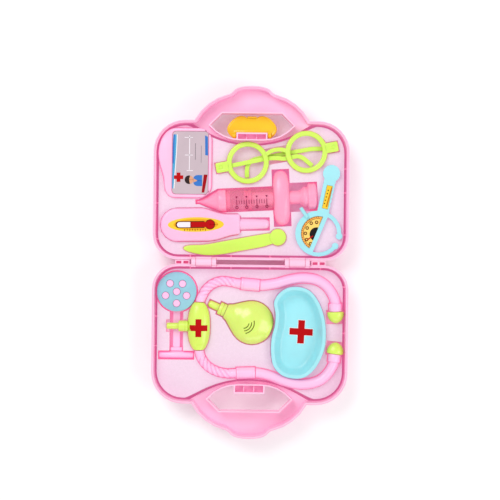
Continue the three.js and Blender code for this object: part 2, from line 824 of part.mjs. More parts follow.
function makeSyringeFlange() {
  const start = barrelEnd + seatGap;
  const sections = flangeShares.map(([along, share]) =>
    [start + along * flangeLength, share * flangeHalfSpan, share * flangeHalfHeight]);
  const bore = rod(start - overrun, start + flangeLength + overrun, stemRadius + runningGap, syringeSides);
  return cut(ovalSections(sections, syringeSides), bore);
}

function makeSyringePlunger() {
  const length = thumbEnd - thumbStart;
  const sections = thumbShares.map(([along, spanShare, heightShare]) =>
    [thumbStart + along * length, spanShare * thumbHalfSpan, heightShare * thumbHalfHeight]);
  const pistonEnd = pistonStart + pistonLength + seatGap;
  return join(
    rod(pistonEnd, thumbStart + bury, stemRadius, syringeSides),
    rod(pistonStart + pistonLength / 2, pistonEnd + bury, stemRadius / 2, syringeSides / 2),
    ovalSections(sections, syringeSides),
  );
}

function makeSyringePiston() {
  const radius = barrelRadius - barrelWall - seatGap;
  const rib = pistonLength / 4;
  const body = turned([
    [pistonStart, 0], [pistonStart, radius - rib / 2], [pistonStart + rib / 2, radius],
    [pistonStart + rib, radius], [pistonStart + 1.5 * rib, radius - rib / 2],
    [pistonStart + 2.5 * rib, radius - rib / 2], [pistonStart + 3 * rib, radius],
    [pistonStart + pistonLength, radius], [pistonStart + pistonLength, 0],
  ], syringeSides);
  const socket = rod(
    pistonStart + pistonLength / 2 - seatGap, pistonStart + pistonLength + overrun,
    stemRadius / 2 + seatGap, syringeSides / 2);
  return cut(body, socket);
}

// Thermometer, along +X from its round end

const thermometerHalfWidth = 17.4;
const thermometerBodyLength = 84;
const thermometerNeckHalf = 10.7;
const thermometerThickness = 13;
const probeEnd = 114.5;
const probeRadius = 6.2;
const probeTipRadius = 5.1;
const probeSocket = 8;
const probeFlatness = 0.78;
const labelCentre = 37.4;
const labelHalfLength = 29.5;
const labelHalfWidth = 7.7;
const labelThickness = 0.7;
const thermometerPocketDepth = 8;
const thermometerSides = 16;
const upperShoulderShares = [[0.52, 1], [0.6, 0.99], [0.68, 0.66], [0.84, 0.62]];
const lowerShoulderShares = [[0.58, 1], [0.72, 0.98], [0.8, 0.76], [0.9, 0.66]];

function thermometerOutline() {
  const path = new THREE.Path();
  const half = thermometerHalfWidth;
  const length = thermometerBodyLength;
  const corner = thermometerNeckHalf / 4;
  const lower = lowerShoulderShares.map(([x, y]) => [x * length, -y * half]);
  const upper = upperShoulderShares.map(([x, y]) => [x * length, y * half]).reverse();
  path.moveTo(half, -half);
  path.lineTo(...lower[0]);
  path.bezierCurveTo(...lower[1], ...lower[2], ...lower[3]);
  path.lineTo(length - corner, -thermometerNeckHalf);
  path.lineTo(length, corner - thermometerNeckHalf);
  path.lineTo(length, thermometerNeckHalf - corner);
  path.lineTo(length - corner, thermometerNeckHalf);
  path.lineTo(...upper[0]);
  path.bezierCurveTo(...upper[1], ...upper[2], ...upper[3]);
  path.lineTo(half, half);
  path.absarc(half, 0, half, quarterTurn, 3 * quarterTurn);
  return path.getPoints(curvePoints).slice(0, -1);
}

function probe(extra) {
  const start = thermometerBodyLength - probeSocket;
  const profile = [
    [start - extra, probeRadius], [thermometerBodyLength, probeRadius],
    [probeEnd - probeTipRadius, probeTipRadius],
    [probeEnd - probeTipRadius / 4, 0.8 * probeTipRadius], [probeEnd + extra, probeTipRadius / 2],
  ];
  const sections = profile.map(([along, radius]) => [along, radius + extra, probeFlatness * radius + extra]);
  return ovalSections(sections, thermometerSides).translate([0, 0, thermometerThickness / 2]);
}

function makeThermometerBack() {
  const top = (thermometerThickness - seatGap) / 2;
  const edge = top / 3;
  const body = stages(thermometerOutline(), [[1.2 * edge, 0], [edge / 3, edge / 2], [0, edge], [0, top]]);
  return cut(body, probe(seatGap));
}

function makeThermometerFront() {
  const low = (thermometerThickness + seatGap) / 2;
  const edge = low / 3;
  const high = thermometerThickness;
  const body = stages(thermometerOutline(), [
    [0, low], [0, high - edge], [edge / 3, high - edge / 2], [1.2 * edge, high],
  ]);
  const recess = prism(labelOutline(1.3 * seatGap), high - labelThickness - seatGap, high + overrun);
  return cut(body, probe(seatGap), recess);
}

function labelOutline(margin) {
  return circle(1, thermometerSides).map((point) => new Vector2(
    labelCentre + (labelHalfLength + margin) * point.x, (labelHalfWidth + margin) * point.y));
}

function makeThermometerLabel() {
  return prism(labelOutline(0), thermometerThickness - labelThickness, thermometerThickness);
}

// Tongue spatula: a leaf-shaped blade that runs along -X from its round end

const spatulaReach = 100.4;
const spatulaHalfWidth = 10;
const spatulaEndRadius = 8.9;
const spatulaThickness = 3.2;
const spatulaPocketDepth = 1;
const spatulaTopShares = [
  [0.955, 0.46], [0.89, 0.52], [0.71, 0.42], [0.41, 0.22], [0.23, 0.1], [0.09, 0.2], [0.022, 0.16],
];
const spatulaLowShares = [
  [0, -0.05], [0.014, -0.26], [0.07, -0.55], [0.22, -1.02], [0.38, -1.13],
  [0.59, -1], [0.82, -0.84], [0.89, -0.72], [0.955, -0.6],
];

function spatulaBlade() {
  const shares = [...spatulaTopShares, ...spatulaLowShares];
  const points = shares.map(([x, y]) => new Vector2((x - 1) * spatulaReach, y * spatulaHalfWidth));
  return new THREE.SplineCurve(points).getPoints(5 * curvePoints);
}

function makeSpatula() {
  const edge = spatulaThickness / 6;
  const steps = [[edge, 0], [0, edge], [0, spatulaThickness - edge], [edge, spatulaThickness]];
  const end = circle(spatulaEndRadius, thermometerSides);
  return join(stages(spatulaBlade(), steps), stages(end, steps));
}

// Dial tool: a ring with a half dial, a cross bar, two arms that end in balls, a stick and a handle.
// Its centre is the ring's, and its handle runs along +X.

const ringOuter = 24.3;
const dialRadius = 18.4;
const armInner = 20;
const gaugeThickness = 4;
const dialRecess = 1.6;
const dialThickness = 0.5;
const crossBarHalf = 2.3;
const crossBarTurn = -10.8;
const handleReachOut = 64.9;
const headRadius = 9.2;
const handleHalfWidth = 6.2;
const ballRadius = 3.5;
const ballAngles = [-84.8, -114];
const stickAngle = 47;
const stickEnd = 33;
const stickRadius = 2;
const stickHeight = 5.7;
const scaleLow = 27.2;
const scaleHigh = 51.8;
const scaleHalfWidth = 2.9;
const gripNotches = 6;
const gripNotchRadius = 1.5;
const gaugeSides = 28;

function crossBarFrame(outline) {
  const turn = THREE.MathUtils.degToRad(crossBarTurn);
  return outline.map((point) => point.clone().rotateAround(new Vector2(), turn));
}

function onDialSide(inset, reach) {
  return crossBarFrame(rectangle(-reach, inset, reach, reach));
}

function onRing(degrees, radius) {
  return new Vector2(radius, 0).rotateAround(new Vector2(), THREE.MathUtils.degToRad(degrees));
}

function makeGaugeFrame() {
  const top = gaugeThickness + overrun;
  const far = 2 * ringOuter;
  const dialSide = prism(onDialSide(crossBarHalf, far), -2 * overrun, top + overrun);
  const openHalf = crossBarFrame(rectangle(-far, -far, far, -crossBarHalf));
  const openSide = prism(openHalf, -2 * overrun, top + overrun);
  const recess = prism(circle(dialRadius, gaugeSides), gaugeThickness - dialRecess, top).intersect(dialSide);
  const hollow = prism(circle(armInner, gaugeSides), -overrun, top).intersect(openSide);
  const mouthCorners = [...ballAngles].reverse().map((degrees) => onRing(degrees, far));
  const mouth = prism([new Vector2(), ...mouthCorners], -overrun, top).intersect(openSide);
  const ring = cut(prism(circle(ringOuter, gaugeSides), 0, gaugeThickness), recess, hollow, mouth);
  const balls = ballAngles.map((degrees) => {
    const centre = onRing(degrees, (armInner + ringOuter) / 2);
    return post(0, gaugeThickness, ballRadius, thermometerSides).translate([centre.x, centre.y, 0]);
  });
  const handleOutline = rectangle(dialRadius + bury, -handleHalfWidth, handleReachOut, handleHalfWidth);
  const handle = prism(handleOutline, 0, gaugeThickness);
  const head = post(0, gaugeThickness, headRadius, thermometerSides).translate([handleReachOut, 0, 0]);
  const pitch = (handleReachOut - headRadius - ringOuter) / gripNotches;
  const notches = Array.from({ length: gripNotches }, (unused, i) =>
    post(-overrun, top, gripNotchRadius, hingeSides / 2)
      .translate([ringOuter + (i + 0.7) * pitch, -handleHalfWidth - gripNotchRadius / 2, 0]));
  const stickRoot = ringOuter - 2 * stickRadius;
  const stick = join(
    rod(stickRoot, stickEnd, stickRadius, thermometerSides / 2).translate([0, 0, stickHeight]),
    block(
      stickRoot, -stickRadius * 0.8, gaugeThickness - bury,
      ringOuter - bury, stickRadius * 0.8, stickHeight),
  ).rotate([0, 0, stickAngle]);
  const scaleRecess = prism(scaleOutline(seatGap), gaugeThickness - dialThickness - seatGap, top);
  return cut(join(ring, balls, cut(handle, notches), head, stick), scaleRecess);
}

function scaleOutline(margin) {
  const half = scaleHalfWidth + margin;
  const offset = scaleHalfWidth / 3;
  return rectangle(scaleLow - margin, -half - offset, scaleHigh + margin, half - offset);
}

function makeGaugeDial() {
  const low = gaugeThickness - dialRecess + seatGap;
  return prism(circle(dialRadius - seatGap, gaugeSides), low, low + dialThickness)
    .intersect(prism(onDialSide(crossBarHalf + seatGap, 2 * ringOuter), 0, gaugeThickness));
}

function makeGaugeScale() {
  return prism(scaleOutline(0), gaugeThickness - dialThickness, gaugeThickness);
}

// Dotted-disc tool: a backing disc with pegs, a cap that they show through, a stem and a crossbar.
// Its centre is the disc's, and the stem runs along -Y.

const discRadius = 21.8;
const discBacking = 9;
const capRadius = 20.9;
const capThickness = 3.4;
const pegRadius = 3.9;
const pegShares = [[-0.34, 0.41], [0.29, 0.4], [0, 0], [-0.56, -0.2], [0.5, -0.2], [0, -0.59]];
const stemHalfWidth = 3.9;
const stemThickness = 5.8;
const stemEnd = 59;
const stemFlangeHalf = 6.4;
const stemFlangeLength = 4;
const crossBarLength = 36.6;
const crossBarRadius = 3.9;
const stemSpigot = 3;
const discToolPocketFloor = trayLowFloor + 6.8;
const discSides = 24;
const pegSides = 8;

function makeDiscToolBody() {
  const edge = discBacking / 6;
  const backing = stages(circle(discRadius, discSides), [
    [edge, 0], [0, edge], [0, discBacking - edge], [edge / 2, discBacking],
  ]);
  const pegs = pegShares.map(([x, y]) =>
    post(discBacking - bury, discBacking + seatGap + capThickness, pegRadius - seatGap, pegSides)
      .translate([x * capRadius, y * capRadius, 0]));
  const stem = block(-stemHalfWidth, -stemEnd, 0, stemHalfWidth, bury - discRadius, stemThickness);
  const flange = block(
    -stemFlangeHalf, -stemEnd - stemFlangeLength, 0, stemFlangeHalf, -stemEnd, stemThickness);
  const spigotStart = stemEnd + stemFlangeLength - bury;
  const spigot = rod(spigotStart, spigotStart + bury + stemSpigot, stemThickness / 4, hingeSides / 2)
    .rotate([0, 0, -90]).translate([0, 0, stemThickness / 2]);
  return join(backing, pegs, stem, flange, spigot);
}

function makeDiscToolCap() {
  const holes = pegShares.map(([x, y]) =>
    circle(pegRadius, pegSides, new Vector2(x * capRadius, y * capRadius)));
  const low = discBacking + seatGap;
  return prism(circle(capRadius, discSides), low, low + capThickness, holes);
}

function makeDiscToolCrossbar() {
  const middle = -stemEnd - stemFlangeLength - seatGap - crossBarRadius;
  const bar = rod(-crossBarLength / 2, crossBarLength / 2, crossBarRadius, thermometerSides)
    .translate([0, middle, crossBarRadius]);
  const socket = rod(0, crossBarRadius + stemSpigot + seatGap, stemThickness / 4 + seatGap, hingeSides / 2)
    .rotate([0, 0, -90]).translate([0, middle + crossBarRadius + overrun, stemThickness / 2]);
  return cut(bar, socket.trimByPlane([0, 1, 0], middle + crossBarRadius - stemSpigot - 2 * seatGap));
}

// Stethoscope: an oval body with a side nozzle, and two arms of twisted tube, sleeve, ear tube and ear tip.
// All of it is moulded in stiff plastic. Its centre is the oval body's.

const ovalHalfLength = 25.2;
const ovalHalfWidth = 11.8;
const ovalHalfHeight = 7;
const ovalEndHalf = 4.9;
const tubeHeight = 23.2;
const twistRadius = 4.6;
const twistDepth = 0.55;
const twistLobes = 4;
const twistPitch = 34;
const sleeveRadius = 6;
const sleeveLength = 20;
const earTubeRadius = 5.1;
const cuffRadius = 6.7;
const cuffLength = 7.4;
const earTipHalfWidth = 9;
const earTipHalfHeight = 6.8;
const earTipLength = 12;
const nozzleBigRadius = 5.8;
const nozzleBigEnd = 21.4;
const nozzleRadius = 3.4;
const nozzleEnd = 34;
const ovalShares = [
  [-1, 0.44], [-0.86, 0.66], [-0.6, 0.88], [-0.3, 0.98], [0, 1],
  [0.3, 0.98], [0.6, 0.88], [0.86, 0.66], [1, 0.44],
];
const tubeSides = 8;

// Routes seen from above, from the oval body outwards, with its centre as their zero
const upperTwistRoute = [
  [1.17, 25.84], [1.27, 27.34], [3.37, 31.94], [6.57, 37.94], [13.57, 44.34], [22.97, 47.74],
  [32.47, 47.04], [41.17, 45.44], [43.77, 45.24],
];
const upperEarRoute = [
  [64.37, 43.84], [66.97, 43.84], [80.77, 45.84], [96.07, 50.04], [109.57, 52.04], [124.37, 49.94],
  [134.97, 43.04], [141.37, 33.64], [143.77, 26.94], [143.87, 24.34],
];
const lowerTwistRoute = [
  [0.77, -25.76], [0.87, -27.26], [3.37, -34.26], [9.37, -41.86], [18.87, -47.36], [29.47, -49.66],
  [37.37, -49.46], [39.97, -49.36],
];
const lowerEarRoute = [
  [60.57, -48.86], [63.17, -48.96], [74.57, -51.36], [89.87, -57.06], [104.87, -60.06],
  [119.37, -59.16], [129.97, -54.86], [137.47, -47.26], [142.67, -37.86], [142.97, -35.26],
];

function ovalBody(extra) {
  const sections = ovalShares.map(([along, share]) => [
    along * (ovalHalfLength + extra),
    share * ovalHalfWidth + extra,
    Math.max(share * ovalHalfHeight, ovalEndHalf) + extra,
  ]);
  return ovalSections(sections, thermometerSides).rotate([0, 0, 90]);
}

function nozzleRod(from, to, radius) {
  return rod(from, to, radius, pegSides).rotate([0, 0, 180]);
}

const nozzleSpigotStart = 7;

function makeStethoscopeBody() {
  const socket = nozzleRod(nozzleSpigotStart - seatGap, ovalHalfWidth + overrun, nozzleRadius + seatGap);
  return cut(ovalBody(0), socket);
}

function makeStethoscopeNozzle() {
  const outer = cut(
    join(
      nozzleRod(nozzleSpigotStart, nozzleBigEnd, nozzleBigRadius),
      nozzleRod(nozzleBigEnd - bury, nozzleEnd, nozzleRadius),
    ),
    ovalBody(seatGap),
  );
  return join(outer, nozzleRod(nozzleSpigotStart, nozzleBigEnd, nozzleRadius));
}

// A lobed section that turns as it runs along a flat route, with plain round ends
function twistedTube(route) {
  const curve = flatCurve(route, 0);
  const length = curve.getLength();
  const steps = Math.round(length / (twistPitch / twistLobes / 4));
  const sides = 3 * twistLobes;
  const plain = 2 * twistRadius / length;
  const up = new Vector3(0, 0, 1);
  const rings = Array.from({ length: steps + 1 }, (unused, step) => {
    const t = step / steps;
    const centre = curve.getPointAt(t);
    const ahead = curve.getTangentAt(t);
    const across = new Vector3().crossVectors(up, ahead).normalize();
    const depth = twistDepth * THREE.MathUtils.clamp(Math.min(t, 1 - t) / plain * 2 - 1, 0, 1);
    return Array.from({ length: sides }, (none, i) => {
      const turn = (2 * Math.PI * i) / sides;
      const phase = twistLobes * (turn - (2 * Math.PI * t * length) / twistPitch);
      const radius = twistRadius - depth * (1 - Math.cos(phase));
      return centre.clone()
        .addScaledVector(across, radius * Math.cos(turn)).addScaledVector(up, radius * Math.sin(turn));
    });
  });
  return toSolid(skinRings(rings, fanFaces(sides)));
}

function routeEnd(route) {
  const [before, last] = route.slice(-2);
  const turn = Math.atan2(last[1] - before[1], last[0] - before[0]);
  return { at: last, degrees: THREE.MathUtils.radToDeg(turn) };
}

// A solid made along +X, set at the end of a route
function atRouteEnd(solid, route) {
  const end = routeEnd(route);
  return solid.rotate([0, 0, end.degrees]).translate([end.at[0], end.at[1], 0]);
}

function makeSleeve(route) {
  const edge = sleeveRadius / 8;
  return atRouteEnd(turned([
    [seatGap, 0], [seatGap, sleeveRadius - edge], [seatGap + edge, sleeveRadius],
    [sleeveLength - edge, sleeveRadius], [sleeveLength, sleeveRadius - edge], [sleeveLength, 0],
  ], thermometerSides), route);
}

function makeEarTube(route) {
  const curve = flatCurve(route, 0);
  const tube = tubeAlong(curve, earTubeRadius, tubeSides, 9 * tubeSides / 4);
  const edge = cuffRadius / 6;
  const cuff = atRouteEnd(turned([
    [-edge, 0], [-edge, cuffRadius - edge], [0, cuffRadius],
    [cuffLength - edge, cuffRadius], [cuffLength, cuffRadius - edge], [cuffLength, 0],
  ], thermometerSides), route);
  return join(tube, cuff);
}

const earTipShares = [[0, 0.94], [0.1, 1], [0.35, 0.97], [0.6, 0.83], [0.8, 0.62], [0.93, 0.36], [1, 0.14]];

function makeEarTip(route) {
  const start = cuffLength + seatGap;
  const sections = earTipShares.map(([along, share]) =>
    [start + along * earTipLength, share * earTipHalfWidth, share * earTipHalfHeight]);
  return atRouteEnd(ovalSections(sections, thermometerSides), route);
}

// Squeeze bulb, along +X from its round end to its nozzle

const bulbRadius = 23.2;
const bulbHalfHeight = 12.6;
const bulbNeckRadius = 8;
const bulbNeckReach = 30;
const bulbCollarLength = 7.6;
const bulbCollarRadius = 7;
const bulbNozzleLength = 12;
const bulbNozzleRadius = 4.1;
const bulbShares = [
  [-0.99, 0.14], [-0.93, 0.37], [-0.82, 0.57], [-0.65, 0.76], [-0.4, 0.917], [-0.15, 0.989],
  [0.1, 0.995], [0.32, 0.947], [0.52, 0.854], [0.72, 0.72], [0.92, 0.57], [1.12, 0.42],
];
const bulbPocketFloor = trayLowFloor + 1.6;
const bulbAxisHeight = bulbPocketFloor + seatGap + bulbHalfHeight;

function makeBulbBody() {
  const sections = bulbShares.map(([along, share]) => {
    const half = share * bulbRadius;
    return [along * bulbRadius, half, Math.max(share * bulbHalfHeight, Math.min(half, bulbNeckRadius))];
  });
  sections.push([bulbNeckReach, bulbNeckRadius, bulbNeckRadius]);
  return ovalSections(sections, syringeSides);
}

function makeBulbCollar() {
  const start = bulbNeckReach + seatGap;
  const middle = start + bulbCollarLength / 2;
  const groove = bulbCollarRadius / 12;
  const end = start + bulbCollarLength;
  return turned([
    [start, 0], [start, bulbCollarRadius], [middle - groove, bulbCollarRadius],
    [middle, bulbCollarRadius - groove], [middle + groove, bulbCollarRadius],
    [end, bulbCollarRadius - groove], [end, 0],
  ], thermometerSides);
}

function makeBulbNozzle() {
  const start = bulbNeckReach + bulbCollarLength + 2 * seatGap;
  const end = start + bulbNozzleLength;
  return turned([
    [start, 0], [start, bulbNozzleRadius], [end - bulbNozzleRadius / 2, bulbNozzleRadius * 0.94],
    [end, bulbNozzleRadius * 0.6], [end, 0],
  ], thermometerSides);
}

// Kidney dish

const dishHalfWidth = 29;
const dishHalfLength = 48.2;
const dishHeight = 16;
const dishWall = 1.7;
const dishRim = 2.2;
const dishSlope = 5.6;
const dishPocketDepth = 8.2;
const dishShares = [
  [-0.93, 0.66], [-0.87, 0.4], [-0.89, 0.16], [-1.0, -0.12], [-1.02, -0.45], [-0.92, -0.74], [-0.63, -0.93],
  [-0.27, -1.0], [0.19, -0.98], [0.6, -0.77], [0.9, -0.39], [0.97, -0.02], [0.89, 0.36], [0.67, 0.7],
  [0.36, 0.92], [-0.05, 1.0], [-0.46, 0.97], [-0.77, 0.84],
];

function dishOutline() {
  const points = dishShares.map(([x, y]) => new Vector3(x * dishHalfWidth, y * dishHalfLength, 0));
  const curve = new THREE.CatmullRomCurve3(points, true);
  return curve.getSpacedPoints(7 * curvePoints).slice(0, -1).map((point) => new Vector2(point.x, point.y));
}

function makeDish() {
  const outline = dishOutline();
  const rimLow = dishHeight - dishWall;
  const outer = stages(outline, [
    [dishRim + dishSlope + dishWall, 0], [dishRim + dishSlope, dishWall / 2],
    [dishRim + dishSlope / 2, dishHeight / 2],
    [dishRim, rimLow], [0, rimLow + dishWall / 3], [0, dishHeight - dishWall / 3], [dishWall / 3, dishHeight],
  ]);
  const inner = stages(outline, [
    [dishRim + dishSlope + 3 * dishWall, dishWall], [dishRim + dishSlope + 1.2 * dishWall, 1.6 * dishWall],
    [dishRim + dishSlope / 2 + dishWall, dishHeight / 2], [dishRim + dishWall, rimLow],
    [dishRim + dishWall / 2, dishHeight + overrun],
  ]);
  return cut(outer, inner);
}

// Trays: a thin plate with a skirt, and a thin-walled pocket under each tool

function pocket(outline, floor, trayTop) {
  return {
    outer: prism(offsetOutline(outline, trayGauge), floor - trayGauge, trayTop - trayGauge / 2),
    inner: prism(outline, floor, trayTop + overrun),
  };
}

function makeTray(side, pockets) {
  const outline = onSide(trayOutline(), side);
  const low = trayLevel - traySkirt;
  const slab = prism(outline, low, trayLevel);
  const under = prism(offsetOutline(outline, -trayGauge), low - overrun, trayLevel - trayGauge);
  const footprint = prism(outline, 0, trayLevel + overrun);
  const walls = join(pockets.map((one) => one.outer)).intersect(footprint);
  return cut(join(cut(slab, under), walls), pockets.map((one) => one.inner));
}

function toolPocket(outlines, toolPlace, floor) {
  return outlines.map((outline) =>
    pocket(placed(offsetOutline(outline, pocketClearance), toolPlace), floor, trayLevel));
}

const glassesPocketFloor = trayLevel - glassesPocketDepth;

function glassesPocketOutlines() {
  const centre = new Vector2(lensSpacing, 0);
  return [
    circle(lensOuter, thermometerSides, centre),
    circle(lensOuter, thermometerSides, centre.clone().negate()),
    rectangle(-tabReach, -tabHalfHeight, tabReach, tabHalfHeight),
    rectangle(-bridgeHalfSpan, -bridgeHalfWidth, bridgeHalfSpan, bridgeRise),
  ];
}

function syringePocketOutlines() {
  const flangeStart = barrelEnd + seatGap;
  const nose = vectors([
    [0, -syringeTipRadius], [syringeTipLength, -syringeTipRadius], [collarStart, -collarRadius],
    [flangeStart + bury, -collarRadius], [flangeStart + bury, collarRadius], [collarStart, collarRadius],
    [syringeTipLength, syringeTipRadius], [0, syringeTipRadius],
  ]);
  return [
    nose,
    rectangle(flangeStart, -flangeHalfSpan, flangeStart + flangeLength, flangeHalfSpan),
    rectangle(flangeStart + flangeLength - bury, -stemRadius, thumbStart, stemRadius),
    rectangle(thumbStart - thumbTravel, -thumbHalfSpan, thumbEnd, thumbHalfSpan),
  ];
}

function makeLidTray() {
  return makeTray(1, [
    ...toolPocket([badgeOutline()], badgePlace, trayLevel - badgePocketDepth),
    ...toolPocket(glassesPocketOutlines(), glassesPlace, glassesPocketFloor),
    ...toolPocket(syringePocketOutlines(), syringePlace, trayLowFloor),
    ...toolPocket(
      [thermometerOutline(), probePocketOutline()],
      thermometerPlace, trayLevel - thermometerPocketDepth),
    ...toolPocket(
      [spatulaBlade(), circle(spatulaEndRadius, thermometerSides)],
      spatulaPlace, trayLevel - spatulaPocketDepth),
  ]);
}

function probePocketOutline() {
  return rectangle(thermometerBodyLength - bury, -probeRadius, probeEnd, probeRadius);
}

function routeOutline(route, halfWidth) {
  const points = flatCurve(route, 0).getSpacedPoints(4 * curvePoints);
  return band(points.map((point) => new Vector2(point.x, point.y)), halfWidth);
}

function ovalOutline() {
  const right = ovalShares.map(([along, share]) =>
    new Vector2(share * ovalHalfWidth, along * ovalHalfLength));
  const left = [...right].reverse().map((point) => new Vector2(-point.x, point.y));
  return [...right, ...left];
}

// Where a route ends, an outline made along +X
function outlineAtEnd(outline, route) {
  const end = routeEnd(route);
  return outline.map((point) => point.clone()
    .rotateAround(new Vector2(), THREE.MathUtils.degToRad(end.degrees)).add(new Vector2(...end.at)));
}

function bulbOutline() {
  const side = bulbShares.map(([along, share]) => [along * bulbRadius, share * bulbRadius]);
  side.push([bulbNeckReach, bulbNeckRadius]);
  const low = side.map(([x, y]) => new Vector2(x, -y));
  const high = side.map(([x, y]) => new Vector2(x, y)).reverse();
  return [...low, ...high];
}

function makeBaseTray() {
  const tubeFloor = tubeHeight - earTubeRadius - seatGap;
  const sleeveFloor = tubeHeight - sleeveRadius - seatGap;
  const ovalFloor = tubeHeight - ovalHalfHeight - seatGap;
  const cuffFloor = tubeHeight - earTipHalfHeight - seatGap;
  const sleeveOutline = rectangle(0, -sleeveRadius, sleeveLength, sleeveRadius);
  const tipOutline = rectangle(-cuffRadius / 6, -cuffRadius, cuffLength, cuffRadius);
  const earEnd = cuffLength + seatGap + earTipLength;
  const earOutline = rectangle(cuffLength - bury, -earTipHalfWidth, earEnd, earTipHalfWidth);
  const routes = [[upperTwistRoute, upperEarRoute], [lowerTwistRoute, lowerEarRoute]];
  const arms = routes.flatMap(([twist, ear]) => [
    ...toolPocket(
      [routeOutline(twist, twistRadius), routeOutline(ear, earTubeRadius)],
      stethoscopePlace, tubeFloor),
    ...toolPocket([outlineAtEnd(sleeveOutline, twist)], stethoscopePlace, sleeveFloor),
    ...toolPocket(
      [outlineAtEnd(tipOutline, ear), outlineAtEnd(earOutline, ear)],
      stethoscopePlace, cuffFloor),
  ]);
  const barMiddle = -stemEnd - stemFlangeLength - seatGap - crossBarRadius;
  const bulbCollarEnd = bulbNeckReach + bulbCollarLength + 2 * seatGap;
  return makeTray(-1, [
    ...arms,
    ...toolPocket([ovalOutline()], stethoscopePlace, ovalFloor),
    ...toolPocket(
      [rectangle(-nozzleEnd, -nozzleBigRadius, -ovalHalfWidth / 2, nozzleBigRadius)],
      stethoscopePlace, tubeHeight - nozzleBigRadius - seatGap),
    ...toolPocket([
      circle(discRadius, discSides),
      rectangle(-stemFlangeHalf, -stemEnd - stemFlangeLength - bury, stemFlangeHalf, -discRadius / 2),
      rectangle(
        -crossBarLength / 2, barMiddle - crossBarRadius, crossBarLength / 2, barMiddle + crossBarRadius),
    ], discToolPlace, discToolPocketFloor),
    ...toolPocket([bulbOutline()], bulbPlace, bulbPocketFloor),
    ...toolPocket(
      [rectangle(bulbNeckReach - bury, -bulbCollarRadius, bulbCollarEnd, bulbCollarRadius),
        rectangle(bulbNeckReach, -bulbNozzleRadius, bulbCollarEnd + bulbNozzleLength, bulbNozzleRadius)],
      bulbPlace, bulbAxisHeight - bulbCollarRadius - seatGap),
    ...toolPocket([dishOutline()], dishPlace, trayLevel - dishPocketDepth),
  ]);
}

// The scene graph

function named(name, solid, makeMaterial) {
  const mesh = new THREE.Mesh(toGeometry(solid), makeMaterial());
  mesh.name = name;
  return mesh;
}

function toolGroup(toolPlace, height, ...meshes) {
  const group = new THREE.Group();
  group.position.set(toolPlace.at.x, toolPlace.at.y, height);
  group.rotation.z = toolPlace.turn;
  group.add(...meshes);
  return group;
}

function caseParts() {
  return [
    named('base_shell', makeBaseShell(), casePink),
    named('lid_shell', makeLidShell(), casePink),
    named('base_tray', makeBaseTray(), trayPink),
    named('lid_tray', makeLidTray(), trayPink),
    named('latch', makeLatch(), latchYellow),
  ];
}

function lidTools() {
  return [
    toolGroup(badgePlace, trayLevel - badgePocketDepth + seatGap,
      named('badge_holder', makeBadgeHolder(), badgePink),
      named('badge_card', makeBadgeCard(), cardGrey)),
    toolGroup(glassesPlace, glassesPocketFloor + seatGap + glassesStack,
      named('glasses_front', makeGlassesFront(), limePlastic),
      named('temple_left', makeTemple(-1, leftTempleShares, leftTempleAxis), limePlastic),
      named('temple_right', makeTemple(1, rightTempleShares, rightTempleAxis), limePlastic)),
    toolGroup(syringePlace, syringeAxisHeight,
      named('syringe_nose', makeSyringeNose(), syringePink),
      named('syringe_barrel', makeSyringeBarrel(), clearPink),
      named('syringe_flange', makeSyringeFlange(), syringePink),
      named('syringe_plunger', makeSyringePlunger(), syringePink),
      named('syringe_piston', makeSyringePiston(), syringePink)),
    toolGroup(thermometerPlace, trayLevel - thermometerPocketDepth + seatGap,
      named('thermometer_front', makeThermometerFront(), thermometerPink),
      named('thermometer_back', makeThermometerBack(), thermometerPink),
      named('thermometer_probe', probe(0), thermometerPink),
      named('thermometer_label', makeThermometerLabel(), labelYellow)),
    toolGroup(spatulaPlace, trayLevel - spatulaPocketDepth + seatGap,
      named('tongue_spatula', makeSpatula(), limePlastic)),
    toolGroup(gaugePlace, trayLevel + seatGap,
      named('gauge_frame', makeGaugeFrame(), aquaPlastic),
      named('gauge_dial', makeGaugeDial(), dialOrange),
      named('gauge_scale', makeGaugeScale(), labelYellow)),
  ];
}

function baseTools() {
  return [
    toolGroup(discToolPlace, discToolPocketFloor + seatGap,
      named('disc_tool_body', makeDiscToolBody(), toolPink),
      named('disc_tool_cap', makeDiscToolCap(), discBlue),
      named('disc_tool_crossbar', makeDiscToolCrossbar(), toolPink)),
    toolGroup(stethoscopePlace, tubeHeight,
      named('stethoscope_body', makeStethoscopeBody(), limePlastic),
      named('stethoscope_nozzle', makeStethoscopeNozzle(), limePlastic),
      named('twist_tube_upper', twistedTube(upperTwistRoute), toolPink),
      named('twist_tube_lower', twistedTube(lowerTwistRoute), toolPink),
      named('tube_sleeve_upper', makeSleeve(upperTwistRoute), toolPink),
      named('tube_sleeve_lower', makeSleeve(lowerTwistRoute), toolPink),
      named('ear_tube_upper', makeEarTube(upperEarRoute), toolPink),
      named('ear_tube_lower', makeEarTube(lowerEarRoute), toolPink),
      named('ear_tip_upper', makeEarTip(upperEarRoute), limePlastic),
      named('ear_tip_lower', makeEarTip(lowerEarRoute), limePlastic)),
    toolGroup(bulbPlace, bulbAxisHeight,
      named('bulb_body', makeBulbBody(), bulbLime),
      named('bulb_collar', makeBulbCollar(), bulbLime),
      named('bulb_nozzle', makeBulbNozzle(), bulbLime)),
    toolGroup(dishPlace, trayLevel - dishPocketDepth + seatGap,
      named('kidney_dish', makeDish(), aquaPlastic)),
  ];
}

const group = new THREE.Group();
group.add(...caseParts(), ...lidTools(), ...baseTools());

export default group;
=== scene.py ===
"""A toy doctor case lying open on its back: looks, print work, light and camera."""
import math

import bmesh
import bpy
from mathutils import Matrix, Vector
from mathutils.geometry import tessellate_polygon


